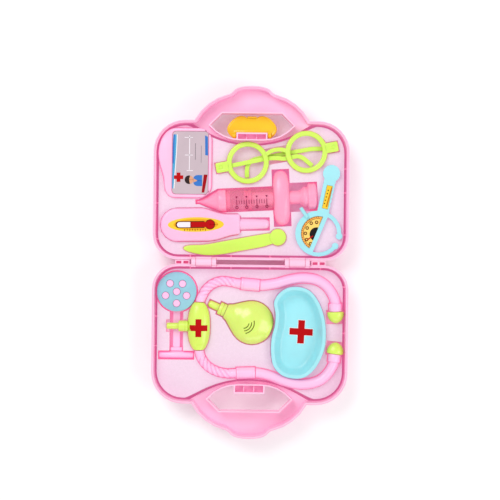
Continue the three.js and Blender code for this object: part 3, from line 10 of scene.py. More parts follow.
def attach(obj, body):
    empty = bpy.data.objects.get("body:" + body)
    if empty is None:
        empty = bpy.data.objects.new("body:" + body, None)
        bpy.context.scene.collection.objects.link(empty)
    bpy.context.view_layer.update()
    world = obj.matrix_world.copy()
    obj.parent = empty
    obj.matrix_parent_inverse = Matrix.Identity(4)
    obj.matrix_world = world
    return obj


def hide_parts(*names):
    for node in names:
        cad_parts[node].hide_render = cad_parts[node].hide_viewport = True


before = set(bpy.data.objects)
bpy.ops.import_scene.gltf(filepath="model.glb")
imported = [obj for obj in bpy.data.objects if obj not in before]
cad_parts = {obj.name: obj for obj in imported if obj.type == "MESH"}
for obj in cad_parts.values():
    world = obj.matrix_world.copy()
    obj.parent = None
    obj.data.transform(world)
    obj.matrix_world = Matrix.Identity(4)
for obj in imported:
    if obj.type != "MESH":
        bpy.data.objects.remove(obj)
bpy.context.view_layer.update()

MM = 0.001
scene = bpy.context.scene

# Camera: straight above, turned a little, as the photograph was taken

PICTURE_WIDTH = 525 * MM
PICTURE_CENTRE = Vector((-0.67 * MM, 13.0 * MM, 31 * MM))
PICTURE_TURN = 0.0113
LENS = 100.0
SENSOR = 36.0


def make_camera():
    data = bpy.data.cameras.new("camera")
    data.lens = LENS
    data.sensor_width = SENSOR
    camera = bpy.data.objects.new("camera", data)
    distance = PICTURE_WIDTH / 2 * LENS / (SENSOR / 2)
    camera.location = PICTURE_CENTRE + Vector((0, 0, distance))
    camera.rotation_euler = (0, 0, PICTURE_TURN)
    scene.collection.objects.link(camera)
    scene.camera = camera


make_camera()

# Light and floor


def area_light(name, place, target, size, power, colour=(1, 1, 1)):
    data = bpy.data.lights.new(name, "AREA")
    data.shape = "RECTANGLE"
    data.size, data.size_y = size
    data.energy = power
    data.color = colour
    light = bpy.data.objects.new(name, data)
    light.location = place
    aim = Vector(target) - Vector(place)
    light.rotation_euler = aim.to_track_quat("-Z", "Y").to_euler()
    scene.collection.objects.link(light)


def make_light():
    scene.view_settings.view_transform = "Standard"
    world = bpy.data.worlds.new("studio")
    scene.world = world
    world.use_nodes = True
    background = world.node_tree.nodes["Background"]
    background.inputs["Color"].default_value = (1, 0.985, 0.99, 1)
    background.inputs["Strength"].default_value = 0.64
    area_light("key", (-0.55, 0.75, 1.25), (0, 0, 0), (0.8, 0.8), 9.0)
    area_light("fill", (0.9, -0.35, 1.1), (0, 0, 0), (0.9, 0.6), 4.8)
    area_light("rim", (0.1, -1.2, 0.6), (0, 0, 0), (1.2, 0.4), 2.2)


def make_floor():
    side = 3.0
    mesh = bpy.data.meshes.new("floor")
    corners = [(-side, -side, 0), (side, -side, 0), (side, side, 0), (-side, side, 0)]
    mesh.from_pydata(corners, [], [(0, 1, 2, 3)])
    floor = bpy.data.objects.new("floor", mesh)
    scene.collection.objects.link(floor)
    paint = bpy.data.materials.new("floor_paint")
    paint.use_nodes = True
    shader = paint.node_tree.nodes["Principled BSDF"]
    shader.inputs["Base Color"].default_value = (0.97, 0.97, 0.97, 1)
    shader.inputs["Roughness"].default_value = 0.8
    shader.inputs["Emission Color"].default_value = (1, 1, 1, 1)
    shader.inputs["Emission Strength"].default_value = 0.03
    mesh.materials.append(paint)


make_light()
make_floor()

# Materials


def linear(red, green, blue):
    """A colour given as it looks on a screen, 0 to 255, in the renderer's linear numbers."""
    shares = [value / 255 for value in (red, green, blue)]
    return tuple(share / 12.92 if share <= 0.04045 else ((share + 0.055) / 1.055) ** 2.4
                 for share in shares) + (1.0,)


def toned(colour, factor):
    return tuple(min(1.0, part * factor) for part in colour[:3]) + (1.0,)


def plastic(name, colour, rough=0.34, vary=0.05, coat=0.25, soft=0.0, grain=0.05,
            round_edge=0.35 * MM, alpha=1.0, crevice_shade=None, reach=12 * MM, painted_glow=None, shine=0.5):
    """Moulded plastic: cloudy colour, uneven gloss, fine grain and softly rounded edges, with optional
    painted shade in crevices and an optional painted glow.
    """
    body_colour = linear(*colour)
    made = bpy.data.materials.new(name)
    made.use_nodes = True
    tree = made.node_tree
    shader = tree.nodes["Principled BSDF"]
    link = tree.links.new

    def node(kind, **values):
        new = tree.nodes.new(kind)
        for key, value in values.items():
            new.inputs[key].default_value = value
        return new

    place = node("ShaderNodeTexCoord").outputs["Object"]
    cloud = node("ShaderNodeTexNoise", Scale=34.0, Detail=3.0, Roughness=0.55)
    link(place, cloud.inputs["Vector"])
    tone = tree.nodes.new("ShaderNodeValToRGB")
    tone.color_ramp.elements[0].position = 0.3
    tone.color_ramp.elements[0].color = toned(body_colour, 1 - vary)
    tone.color_ramp.elements[1].position = 0.7
    tone.color_ramp.elements[1].color = toned(body_colour, 1 + vary / 2)
    link(cloud.outputs["Fac"], tone.inputs["Fac"])
    result = tone.outputs["Color"]
    # Painted shade: where ambient occlusion finds a crevice or a near neighbour, the colour turns towards
    # a darker crevice colour
    if crevice_shade:
        crevice_ao = node("ShaderNodeAmbientOcclusion", Distance=reach)
        crevice_ao.samples = 8
        span = node("ShaderNodeMapRange", **{"From Min": 0.15, "From Max": 0.6})
        link(crevice_ao.outputs["AO"], span.inputs["Value"])
        blend = tree.nodes.new("ShaderNodeMix")
        blend.data_type = "RGBA"
        blend.inputs["A"].default_value = linear(*crevice_shade)
        link(span.outputs["Result"], blend.inputs["Factor"])
        link(result, blend.inputs["B"])
        result = blend.outputs["Result"]
    link(result, shader.inputs["Base Color"])

    gloss = node("ShaderNodeTexNoise", Scale=260.0, Detail=2.0)
    link(place, gloss.inputs["Vector"])
    span = node("ShaderNodeMapRange", **{"To Min": rough - 0.06, "To Max": rough + 0.08})
    link(gloss.outputs["Fac"], span.inputs["Value"])
    link(span.outputs["Result"], shader.inputs["Roughness"])

    edge = node("ShaderNodeBevel", Radius=round_edge)
    edge.samples = 4
    wave = node("ShaderNodeTexNoise", Scale=55.0, Detail=1.0)
    link(place, wave.inputs["Vector"])
    slow = node("ShaderNodeBump", Strength=0.25, Distance=0.5 * MM)
    link(wave.outputs["Fac"], slow.inputs["Height"])
    link(edge.outputs["Normal"], slow.inputs["Normal"])
    fine = node("ShaderNodeTexNoise", Scale=1800.0, Detail=2.0)
    link(place, fine.inputs["Vector"])
    bump = node("ShaderNodeBump", Strength=grain, Distance=0.1 * MM)
    link(fine.outputs["Fac"], bump.inputs["Height"])
    link(slow.outputs["Normal"], bump.inputs["Normal"])
    link(bump.outputs["Normal"], shader.inputs["Normal"])

    shader.inputs["Coat Weight"].default_value = coat
    shader.inputs["Coat Roughness"].default_value = 0.12
    shader.inputs["IOR"].default_value = 1.49
    shader.inputs["Specular IOR Level"].default_value = shine
    if soft:
        shader.inputs["Subsurface Weight"].default_value = soft
        shader.inputs["Subsurface Radius"].default_value = (1.0, 0.55, 0.6)
        shader.inputs["Subsurface Scale"].default_value = 1.6 * MM
    shader.inputs["Alpha"].default_value = alpha
    if painted_glow:
        # Painted light: a constant pink emission, so that the shadows keep the colour of the plastic
        # instead of going dark
        shader.inputs["Emission Color"].default_value = linear(*painted_glow[0])
        shader.inputs["Emission Strength"].default_value = painted_glow[1]
    return made


# Darker pink that the tools take in their crevices: painted shade
TOOL_CREVICE_SHADE = (254, 146, 196)
# Pink that the plastics give off as a painted glow
GLOW_PINK = (252, 134, 190)

# What the slots look like, with painted shade in their crevices and, for the pinks, a painted glow;
# oval_lime is a second look of the lime slot
PAINTS = {name: plastic(name, **look) for name, look in {
    "case_pink": dict(colour=(247, 199, 223), crevice_shade=(252, 158, 204), painted_glow=(GLOW_PINK, 0.12), reach=6 * MM),
    "tray_pink": dict(colour=(210, 206, 216), rough=0.26, vary=0.02, coat=0.4,
                      crevice_shade=(246, 166, 204), reach=8 * MM, painted_glow=(GLOW_PINK, 0.25)),
    "latch_yellow": dict(colour=(255, 206, 0), soft=0.05, round_edge=0.8 * MM),
    "badge_pink": dict(colour=(246, 192, 222), crevice_shade=TOOL_CREVICE_SHADE, reach=4 * MM, painted_glow=(GLOW_PINK, 0.1)),
    "card_grey": dict(colour=(198, 180, 188), rough=0.5, coat=0.1),
    "lime": dict(colour=(212, 250, 94), soft=0.15, crevice_shade=(168, 214, 30), reach=4 * MM),
    "syringe_pink": dict(colour=(255, 158, 190), soft=0.1, crevice_shade=(250, 116, 162), reach=4 * MM,
                         painted_glow=(GLOW_PINK, 0.08)),
    "clear_pink": dict(colour=(255, 156, 186), rough=0.12, alpha=0.22),
    "thermometer_pink": dict(colour=(248, 192, 226), soft=0.1, crevice_shade=TOOL_CREVICE_SHADE, reach=3 * MM),
    "label_yellow": dict(colour=(250, 206, 26), rough=0.4),
    "aqua": dict(colour=(164, 233, 241), soft=0.1, crevice_shade=(112, 204, 222), reach=6 * MM),
    "dial_orange": dict(colour=(250, 172, 70), rough=0.4),
    "disc_blue": dict(colour=(152, 210, 226), rough=0.22, vary=0.14, coat=0.6,
                      crevice_shade=(110, 184, 212), reach=3 * MM),
    "tool_pink": dict(colour=(248, 194, 228), crevice_shade=TOOL_CREVICE_SHADE, reach=4 * MM, painted_glow=(GLOW_PINK, 0.12)),
    "oval_lime": dict(colour=(218, 246, 98), rough=0.28, soft=0.15, coat=0.4,
                      crevice_shade=(178, 212, 36), reach=4 * MM),
    "bulb_lime": dict(colour=(221, 245, 112), rough=0.24, soft=0.25, coat=0.5,
                      crevice_shade=(186, 214, 46), reach=10 * MM),
}.items()}

INKS = {
    name: plastic(f"ink_{name}", colour, rough=0.5, vary=0.04, coat=0.0, grain=0.03, shine=0.12)
    for name, colour in {
        "red": (186, 2, 8), "dark_red": (160, 2, 20), "white": (250, 250, 248),
        "black": (26, 22, 24), "blue": (60, 120, 200), "teal": (80, 168, 214),
        "navy": (44, 88, 170), "skin": (224, 164, 130), "hair": (48, 34, 34),
        "pale": (244, 236, 242), "grey": (120, 108, 116), "maroon": (128, 0, 66),
        "amber": (206, 122, 6), "orange": (238, 170, 34), "yellow": (255, 214, 112),
        "olive": (104, 112, 30), "brown": (98, 44, 14),
    }.items()
}

NODE_PAINTS = {
    "case_pink": ["base_shell", "lid_shell"],
    "tray_pink": ["base_tray", "lid_tray"],
    "latch_yellow": ["latch"],
    "badge_pink": ["badge_holder"],
    "card_grey": ["badge_card"],
    "lime": ["glasses_front", "temple_left", "temple_right", "tongue_spatula", "stethoscope_body",
             "stethoscope_nozzle", "ear_tip_upper", "ear_tip_lower"],
    "syringe_pink": ["syringe_nose", "syringe_flange", "syringe_plunger", "syringe_piston"],
    "clear_pink": ["syringe_barrel"],
    "thermometer_pink": ["thermometer_front", "thermometer_back", "thermometer_probe"],
    "label_yellow": ["thermometer_label", "gauge_scale"],
    "aqua": ["gauge_frame", "kidney_dish"],
    "dial_orange": ["gauge_dial"],
    "disc_blue": ["disc_tool_cap"],
    "tool_pink": ["disc_tool_body", "disc_tool_crossbar", "twist_tube_upper", "twist_tube_lower",
                  "tube_sleeve_upper", "tube_sleeve_lower", "ear_tube_upper", "ear_tube_lower"],
    "bulb_lime": ["bulb_body", "bulb_collar", "bulb_nozzle"],
}
NODE_SLOTS = {name: slot_name for slot_name, names in NODE_PAINTS.items() for name in names}


def smoothing_group(degrees):
    """Geometry nodes that close the mesh's seams and shade it smooth up to an angle."""
    group = bpy.data.node_groups.new("smooth_shade", "GeometryNodeTree")
    group.interface.new_socket("Geometry", in_out="INPUT", socket_type="NodeSocketGeometry")
    group.interface.new_socket("Geometry", in_out="OUTPUT", socket_type="NodeSocketGeometry")
    nodes, link = group.nodes, group.links.new
    start, end = nodes.new("NodeGroupInput"), nodes.new("NodeGroupOutput")
    weld = nodes.new("GeometryNodeMergeByDistance")
    weld.inputs["Distance"].default_value = 0.002 * MM
    faces = nodes.new("GeometryNodeSetShadeSmooth")
    faces.domain = "FACE"
    edges = nodes.new("GeometryNodeSetShadeSmooth")
    edges.domain = "EDGE"
    edges.inputs["Shade Smooth"].default_value = False
    angle = nodes.new("GeometryNodeInputMeshEdgeAngle")
    sharp = nodes.new("FunctionNodeCompare")
    sharp.operation = "GREATER_THAN"
    sharp.inputs["B"].default_value = math.radians(degrees)
    link(start.outputs[0], weld.inputs["Geometry"])
    link(weld.outputs["Geometry"], faces.inputs["Geometry"])
    link(faces.outputs["Geometry"], edges.inputs["Geometry"])
    link(angle.outputs["Unsigned Angle"], sharp.inputs["A"])
    link(sharp.outputs["Result"], edges.inputs["Selection"])
    link(edges.outputs["Geometry"], end.inputs[0])
    return group


smooth_shade = smoothing_group(33)


def paint(obj, material):
    if obj.material_slots:
        obj.material_slots[0].material = material
    else:
        obj.data.materials.append(material)


for name, slot_name in NODE_SLOTS.items():
    node_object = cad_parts[name]
    paint(node_object, PAINTS[slot_name])
    node_object.modifiers.new("shading", "NODES").node_group = smooth_shade

# Building blocks for finer pieces, in millimetres


class Form:
    """Points and faces, gathered from rings, tubes and plates into one piece."""

    def __init__(self):
        self.points = []
        self.faces = []

    def add(self, points, faces):
        base = len(self.points)
        self.points += [tuple(point) for point in points]
        self.faces += [tuple(base + corner for corner in face) for face in faces]
        return self

    def rings(self, rings, ends=True, closed=False):
        """A skin over rings of equal count, with flat ends or closed on itself."""
        count = len(rings[0])
        steps = len(rings) if closed else len(rings) - 1
        faces = []
        for k in range(steps):
            low, high = k * count, (k + 1) % len(rings) * count
            for i in range(count):
                j = (i + 1) % count
                faces.append((low + i, low + j, high + j, high + i))
        if ends and not closed:
            faces.append(tuple(reversed(range(count))))
            faces.append(tuple((len(rings) - 1) * count + i for i in range(count)))
        return self.add([point for ring in rings for point in ring], faces)

    def turned(self, profile, sides=48):
        """A profile of (along X, radius), turned about the X axis."""
        return self.ovals([(x, radius, radius) for x, radius in profile], sides)

    def ovals(self, sections, sides=48, closed=False):
        """Oval rings of (along X, half of Y, half of Z)."""
        angles = [2 * math.pi * i / sides for i in range(sides)]
        return self.rings([[(x, half_y * math.cos(a), half_z * math.sin(a)) for a in angles]
                           for x, half_y, half_z in sections], closed=closed)

    def post(self, centre, profile, sides=48, closed=False):
        """A profile of (height, radius), turned about an upright axis."""
        angles = [2 * math.pi * i / sides for i in range(sides)]
        return self.rings([[(centre[0] + radius * math.cos(a), centre[1] + radius * math.sin(a), z)
                            for a in angles] for z, radius in profile], closed=closed)

    def swept(self, route, section):
        """A section, given by the number of the route's point, carried along a flat route."""
        rings = []
        for k, (x, y, z) in enumerate(route):
            before, after = route[max(k - 1, 0)], route[min(k + 1, len(route) - 1)]
            ahead = Vector((after[0] - before[0], after[1] - before[1], 0)).normalized()
            across = Vector((-ahead.y, ahead.x, 0))
            centre = Vector((x, y, z))
            rings.append([centre + across * u + Vector((0, 0, v)) for u, v in section(k)])
        return self.rings(rings)

    def block(self, low, high, edge):
        """A box with chamfered upright and flat edges."""
        steps = [(edge, low[2]), (0, low[2] + edge), (0, high[2] - edge), (edge, high[2])]
        return self.plate([rounded(rectangle(*low[:2], *high[:2]), 2 * edge)], steps)

    def plate(self, outlines, steps):
        """A flat plate: outlines (holes run the other way round) inset step by step upwards."""
        for outline in outlines:
            self.rings([[(x, y, z) for x, y in inset(outline, by)] for by, z in steps], ends=False)
        for by, z in (steps[0], steps[-1]):
            loops = [[Vector((x, y, z)) for x, y in inset(outline, by)] for outline in outlines]
            flat = [tuple(point) for loop in loops for point in loop]
            self.add(flat, [tuple(face) for face in tessellate_polygon(loops)])
        return self


def inset(outline, by):
    """An outline moved to its left by a distance, with mitred corners."""
    if not by:
        return [tuple(point) for point in outline]
    moved = []
    count = len(outline)
    for i, (x, y) in enumerate(outline):
        before = Vector((x - outline[i - 1][0], y - outline[i - 1][1])).normalized()
        after = Vector((outline[(i + 1) % count][0] - x, outline[(i + 1) % count][1] - y)).normalized()
        normal = Vector((-before.y - after.y, before.x + after.x))
        length = normal.length_squared
        scale = 2 * by / max(length, 1.0)
        moved.append((x + normal.x * scale, y + normal.y * scale))
    return moved


def arc(centre, radius, start, end, count):
    """Points on a circle from one angle to another, in degrees."""
    return [(centre[0] + radius * math.cos(math.radians(start + (end - start) * i / count)),
             centre[1] + radius * math.sin(math.radians(start + (end - start) * i / count)))
            for i in range(count + 1)]


def circle(centre, radius, count=64):
    return arc(centre, radius, 0, 360, count)[:-1]


def rounded(corners, radius, count=5):
    """A polygon whose corners are cut back by a distance and rounded."""
    made = []
    for i, corner in enumerate(corners):
        here = Vector(corner)
        before = here + (Vector(corners[i - 1]) - here).normalized() * radius
        after = here + (Vector(corners[(i + 1) % len(corners)]) - here).normalized() * radius
        for k in range(count + 1):
            t = k / count
            point = before * (1 - t) ** 2 + here * 2 * t * (1 - t) + after * t ** 2
            made.append((point.x, point.y))
    return made


def rectangle(x0, y0, x1, y1):
    return [(x0, y0), (x1, y0), (x1, y1), (x0, y1)]


def spline(points, per_span=8, closed=False, even=False):
    """Points on a smooth curve through the given ones; with even, spaced by their distance."""
    count = len(points)
    made = []

    def at(i):
        if closed:
            return points[i % count]
        if i < 0:
            return tuple(2 * a - b for a, b in zip(points[0], points[1]))
        if i >= count:
            return tuple(2 * a - b for a, b in zip(points[-1], points[-2]))
        return points[i]

    for k in range(count if closed else count - 1):
        four = [at(k - 1), at(k), at(k + 1), at(k + 2)]
        gaps = [1.0, 1.0, 1.0]
        if even:
            gaps = [max(math.dist(four[i], four[i + 1]) ** 0.5, 1e-4) for i in range(3)]
        for step in range(per_span):
            t = step / per_span
            point = []
            for a, b, c, d in zip(*four):
                start = ((b - a) / gaps[0] - (c - a) / (gaps[0] + gaps[1]) + (c - b) / gaps[1]) * gaps[1]
                end = ((c - b) / gaps[1] - (d - b) / (gaps[1] + gaps[2]) + (d - c) / gaps[2]) * gaps[1]
                point.append(b + start * t + (3 * (c - b) - 2 * start - end) * t ** 2
                             + (2 * (b - c) + start + end) * t ** 3)
            made.append(tuple(point))
    if not closed:
        made.append(tuple(points[-1]))
    return made


def evenly(points, count):
    """The same line, cut into equal steps."""
    lengths = [0.0]
    for one, two in zip(points, points[1:]):
        lengths.append(lengths[-1] + math.dist(one, two))
    made, k = [], 0
    for i in range(count + 1):
        goal = lengths[-1] * i / count
        while k < len(points) - 2 and lengths[k + 1] < goal:
            k += 1
        t = (goal - lengths[k]) / max(lengths[k + 1] - lengths[k], 1e-9)
        made.append(tuple(a + (b - a) * t for a, b in zip(points[k], points[k + 1])))
    return made


def bezier(points, count=16):
    made = []
    for i in range(count + 1):
        t = i / count
        weights = [(1 - t) ** 3, 3 * t * (1 - t) ** 2, 3 * t * t * (1 - t), t ** 3]
        made.append(tuple(sum(w * p[axis] for w, p in zip(weights, points)) for axis in (0, 1)))
    return made


def mirrored(right_half):
    """An outline from its right half, which runs from the low to the high end of the Y axis."""
    left = [(-x, y) for x, y in reversed(right_half) if abs(x) > 1e-6]
    return list(right_half) + left


def soft_steps(low, high, edge, lower_edge=0.0, count=5):
    """Inset and height pairs of a plate whose edges are rounded."""
    steps = []
    for i in range(count + 1 if lower_edge else 1):
        turn = math.pi / 2 * i / count
        steps.append((lower_edge * (1 - math.sin(turn)), low + lower_edge * (1 - math.cos(turn))))
    for i in range(count + 1):
        turn = math.pi / 2 * i / count
        steps.append((edge * (1 - math.cos(turn)), high - edge * (1 - math.sin(turn))))
    return steps


def spot(x, y, z, degrees=0.0):
    """Where a tool lies, as a matrix from its millimetres to the scene."""
    return (Matrix.Translation(Vector((x, y, z)) * MM) @ Matrix.Rotation(math.radians(degrees), 4, "Z")
            @ Matrix.Scale(MM, 4))


def piece(name, form, place, body, material, nodes=()):
    mesh = bpy.data.meshes.new(name)
    mesh.from_pydata([place @ Vector(point) for point in form.points], [], form.faces)
    work = bmesh.new()
    work.from_mesh(mesh)
    bmesh.ops.remove_doubles(work, verts=work.verts, dist=0.001 * MM)
    bmesh.ops.recalc_face_normals(work, faces=work.faces)
    work.to_mesh(mesh)
    work.free()
    obj = bpy.data.objects.new(name, mesh)
    scene.collection.objects.link(obj)
    paint(obj, material)
    obj.modifiers.new("shading", "NODES").node_group = smooth_shade
    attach(obj, body)
    if nodes:
        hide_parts(*nodes)


OVAL_AT = (-53.766, -67.944, 23.2)
CASE = spot(0, 0, 0)
PLACES = {
    "latch": spot(0, 133.1, 26),
    "badge": spot(-67.053, 104.3745, 19.5),
    "glasses": spot(26.78, 111.2285, 21.2, 10.97),
    "syringe": spot(-58.195, 63.325, 15.8, 3.3),
    "thermometer": spot(-95.378, 38.397, 12.7, 1.2),
    "spatula": spot(28.572, 26.7455, 19.7, 7.04),
    "disc_tool": spot(-77.559, -31.8115, 10.6),
    "stethoscope": spot(*OVAL_AT),
    "bulb": spot(2.064, -63.774, 18.0, 156.3),
    "dish": spot(52.174, -73.414, 12.5),
}
PLACES["plunger"] = PLACES["syringe"]
PLACES["temple_left"] = PLACES["temple_right"] = PLACES["glasses"]


def stand_in(node, form, body, look=None):
    """A finer piece in a CAD node's place."""
    slot_name = NODE_SLOTS[node]
    piece(f"{node}_fine", form, PLACES[body], body, PAINTS[look or slot_name], (node,))


# Latch: a bean-shaped plate with rounded edges, two arms on the pivot pins and a hook


def latch_pieces():
    half, reach = 26.2, 21.7
    shares = [(0.81, -0.04), (0.93, 0.1), (0.99, 0.25), (1, 0.4), (0.96, 0.54), (0.88, 0.68),
              (0.76, 0.83), (0.62, 0.94), (0.45, 1), (0.3, 0.98), (0.16, 0.9), (0, 0.88)]
    curve = spline([(x * half, y * reach) for x, y in shares], 5)
    foot, arm_inner, arm_outer, pin = 3.6, 16.6, 20.4, 1.5
    right = [(0.0, foot), (arm_inner, foot), (arm_inner, -pin), (arm_outer, -pin)] + curve[2:]
    plate_low, plate_top = -8.4, -5.2
    form = Form().plate([mirrored(right)], [
        (0.8, plate_low), (0.25, plate_low + 0.3), (0, plate_low + 0.9), (0, plate_top - 1.0),
        (0.12, plate_top - 0.55), (0.4, plate_top - 0.22), (0.8, plate_top - 0.05), (1.3, plate_top),
        (1.8, plate_top - 0.12), (2.4, plate_top - 0.5), (3.2, plate_top - 0.6)])
    for hand in (-1, 1):
        ends = sorted((hand * arm_inner, hand * arm_outer))
        form.block((ends[0], -pin, plate_low + 1.2), (ends[1], pin + 2.6, 0), 0.3)
        form.turned([(ends[0], 2.2), (ends[0] + 0.4, 2.6), (ends[1] - 0.4, 2.6), (ends[1], 2.2)], 40)
        pins = sorted((hand * (arm_inner + 1.9), hand * 14.7))
        form.turned([(pins[0], 1.3), (pins[0] + 0.2, 1.5), (pins[1] - 0.2, 1.5), (pins[1], 1.3)], 32)
    form.block((-5, 18.85, plate_low + 1.2), (5, 21.05, plate_top + 1.7), 0.35)
    stand_in("latch", form, "latch")


# Badge: a soft frame with a window, and a printed card in it


def badge_pieces():
    length, right, bulge, corner, thick = 36.6, 24.8, 31.5, 13, 5.6
    start = -bulge * 0.43
    shares = [(0.76, 1), (1, 0.66), (1, 0.27), (1, -0.05), (0.79, -0.33), (0.79, -0.55),
              (0.79, -0.85), (0.67, -1)]
    guides = [(-x * bulge, y * length) for x, y in shares]
    outline = arc((right - corner, corner - length), corner, -90, 0, 14)
    outline += arc((right - corner, length - corner), corner, 0, 90, 14)
    outline += bezier([(start, length), guides[0], guides[1], guides[2]])
    outline += bezier([guides[2], guides[3], guides[4], guides[5]])[1:]
    outline += bezier([guides[5], guides[6], guides[7], (start, -length)])[1:]
    left, side, end = -16.7, 21.4, 33.2
    window = rounded(rectangle(left, -end, side, end), 4.5, 8)
    frame_form = Form()
    steps = soft_steps(0, thick, 1.9, 1.2, 6)
    frame_form.plate([outline, window[::-1]], [(by * 0.55, z) for by, z in steps])
    stand_in("badge_holder", frame_form, "badge")
    card = Form().plate([rounded(rectangle(left + 0.2, 0.2 - end, side - 0.2, end - 0.2), 4.5, 8)],
                        [(0, 4.8), (0, 5.25)])
    stand_in("badge_card", card, "badge")


# Glasses: two rims, a bridge, end tabs with ears, and two bent temples


def band_section(half_width, low, high, edge):
    """A rounded rectangle as a section, as (across, up)."""
    corners = [(-half_width, low), (half_width, low), (half_width, high), (-half_width, high)]
    points = rounded(corners, edge, 4)
    return lambda k: points


TEMPLE_PIN = 60.5
TEMPLE_HEIGHTS = {-1: -1.95, 1: -5.45}


def glasses_pieces():
    spacing, outer, inner, thick = 31.5, 22.3, 16.9, 3.8
    form = Form()
    profile = [(0, inner + 0.5), (0, outer - 0.5), (0.5, outer), (2.4, outer), (3.1, outer - 0.25),
               (3.6, outer - 0.8), (thick, outer - 1.5), (thick, inner + 1.5), (3.6, inner + 0.8),
               (3.1, inner + 0.25), (2.4, inner), (0.5, inner)]
    for hand in (-1, 1):
        form.post((hand * spacing, 0), profile, 96, closed=True)
    span, rise, half = 13.5, 10.2, 2.2
    radius = (span ** 2 + (rise / 2) ** 2) / rise
    reach = math.degrees(math.asin(span / radius))
    middle = rise - half - radius
    bow = [(x, y, 0) for x, y in arc((0, middle), radius, 90 + reach, 90 - reach, 30)]
    form.swept(bow, band_section(half, 0.3, 3.5, 0.9))
    for hand in (-1, 1):
        low, high = sorted((hand * 51.1, hand * 65.6))
        tab = rounded(rectangle(low, -5.4, high, 5.4), 2.0, 6)
        pin = hand * TEMPLE_PIN
        pane = [(pin + x, y) for x, y in rounded(rectangle(-1.6, -1.6, 1.6, 1.6), 0.7, 4)]
        form.plate([tab, pane[::-1]], [(0.3, 0.45), (0, 0.8), (0, 2.8), (0.35, 3.5), (0.9, 3.8)])
        form.plate([pane], [(0, 2.2), (0, 2.8)])
        ear_low = TEMPLE_HEIGHTS[hand] - 1.55
        for low, high in ((-5.2, -3.1), (3.1, 5.2)):
            form.block((pin - 2.6, low, ear_low), (pin + 2.6, high, 1.9), 0.35)
    stand_in("glasses_front", form, "glasses")

    tables = {
        -1: [(-0.7, 0.005), (-0.4, 0.01), (-0.15, 0.01), (0, -0.012), (0.12, -0.042),
             (0.25, -0.043), (0.35, -0.043), (0.43, -0.08), (0.5, -0.155), (0.58, -0.255)],
        1: [(0.76, 0.02), (0.62, 0.041), (0.4, 0.043), (0.1, 0.043), (-0.15, 0.043),
            (-0.36, 0.043), (-0.46, 0.02), (-0.53, -0.05), (-0.56, -0.14), (-0.58, -0.25)],
    }
    for hand, table in tables.items():
        axis, pin_at = TEMPLE_HEIGHTS[hand], hand * TEMPLE_PIN
        root_end = pin_at - hand * 6.0
        route = [(x, y, axis) for x, y in spline(
            [(root_end, 0.0)] + [(x * TEMPLE_PIN, y * TEMPLE_PIN) for x, y in table], 8)]
        arm = Form().swept(route, band_section(2.3, -1.55, 1.55, 0.7))
        ends = sorted((pin_at, root_end - hand * 2.3))
        arm.block((ends[0], -2.7, axis - 1.55), (ends[1], 2.7, axis + 1.55), 0.3)
        barrel = Form().turned([(-2.7, 1.3), (-2.5, 1.55), (2.5, 1.55), (2.7, 1.3)], 32)
        pin = Form().turned([(-5.2, 0.85), (-5.0, 1.0), (5.0, 1.0), (5.2, 0.85)], 24)
        for rod in (barrel, pin):
            arm.add([(pin_at - y, x, z + axis) for x, y, z in rod.points], rod.faces)
        side = "left" if hand < 0 else "right"
        stand_in(f"temple_{side}", arm, f"temple_{side}")


# Syringe: nose, clear barrel, finger flange, plunger and piston


BARREL_RADIUS = 11.8


def syringe_pieces():
    nose = Form().turned([
        (0, 1.2), (0.2, 1.5), (0.85, 1.8), (3.4, 1.8), (4.2, 2.05), (19.6, 9.15), (20.5, 9.5),
        (22.6, 10.7), (23.4, 11.4), (23.9, 11.85), (24.6, 12), (30.9, 12), (31.5, 11.8),
        (31.7, 11.4), (31.7, 10.3), (35.6, 10.3), (36, 9.9)], 72)
    stand_in("syringe_nose", nose, "syringe")

    outer, inner = BARREL_RADIUS, BARREL_RADIUS - 1.2
    profile = [(32, outer - 0.2), (32.2, outer), (81.4, outer), (81.6, outer - 0.2),
               (81.6, inner + 0.2), (81.4, inner), (32.2, inner), (32, inner + 0.2)]
    barrel = Form().ovals([(x, radius, radius) for x, radius in profile], 72, closed=True)
    stand_in("syringe_barrel", barrel, "syringe")

    start, length, half_wide, half_high, bore = 81.9, 17.0, 29.6, 12, 7.6
    turns = [math.pi * i / 40 for i in range(41)]
    shares = [(0.5 - 0.5 * math.cos(a), 0.55 + 0.45 * math.sin(a) ** 0.8) for a in turns]
    rings = [(start + along * length, share * half_wide, share * half_high) for along, share in shares]
    rings += [(start + length, bore, bore), (start, bore, bore)]
    stand_in("syringe_flange", Form().ovals(rings, 72, closed=True), "syringe")

    thumb_start, thumb_length = 109.5, 18.3
    thumb = [(0, 0.5, 0.65), (0.12, 0.6, 0.74), (0.24, 0.72, 0.86), (0.32, 0.76, 0.9),
             (0.42, 0.72, 0.86), (0.47, 0.76, 0.88), (0.5, 0.9, 0.96), (0.54, 0.985, 0.99), (0.6, 1, 1),
             (0.72, 0.985, 0.99), (0.86, 1, 1), (0.93, 0.96, 0.97), (0.98, 0.84, 0.86), (1, 0.7, 0.73)]
    plunger = Form().ovals([(thumb_start + a * thumb_length, b * 14.6, c * 11)
                            for a, b, c in spline(thumb, 3)], 72)
    plunger.turned([(58.8, 6.9), (59.1, 7.2), (110.5, 7.2)], 56)
    plunger.turned([(54.5, 3.6), (59.8, 3.6)], 40)
    stand_in("syringe_plunger", plunger, "plunger")

    radius = 10.3
    piston = Form().turned([
        (50.5, radius - 1), (50.8, radius - 0.6), (51.5, radius), (52.5, radius), (53.2, radius - 0.5),
        (53.5, radius - 1), (55.5, radius - 1), (55.9, radius - 0.6), (56.5, radius), (58.2, radius),
        (58.5, radius - 0.3), (58.5, 3.9), (54.2, 3.9)], 72)
    stand_in("syringe_piston", piston, "plunger")


# Thermometer: two halves, a probe and a label


LABEL_AT = 37.4
LABEL_TOP = 13.15


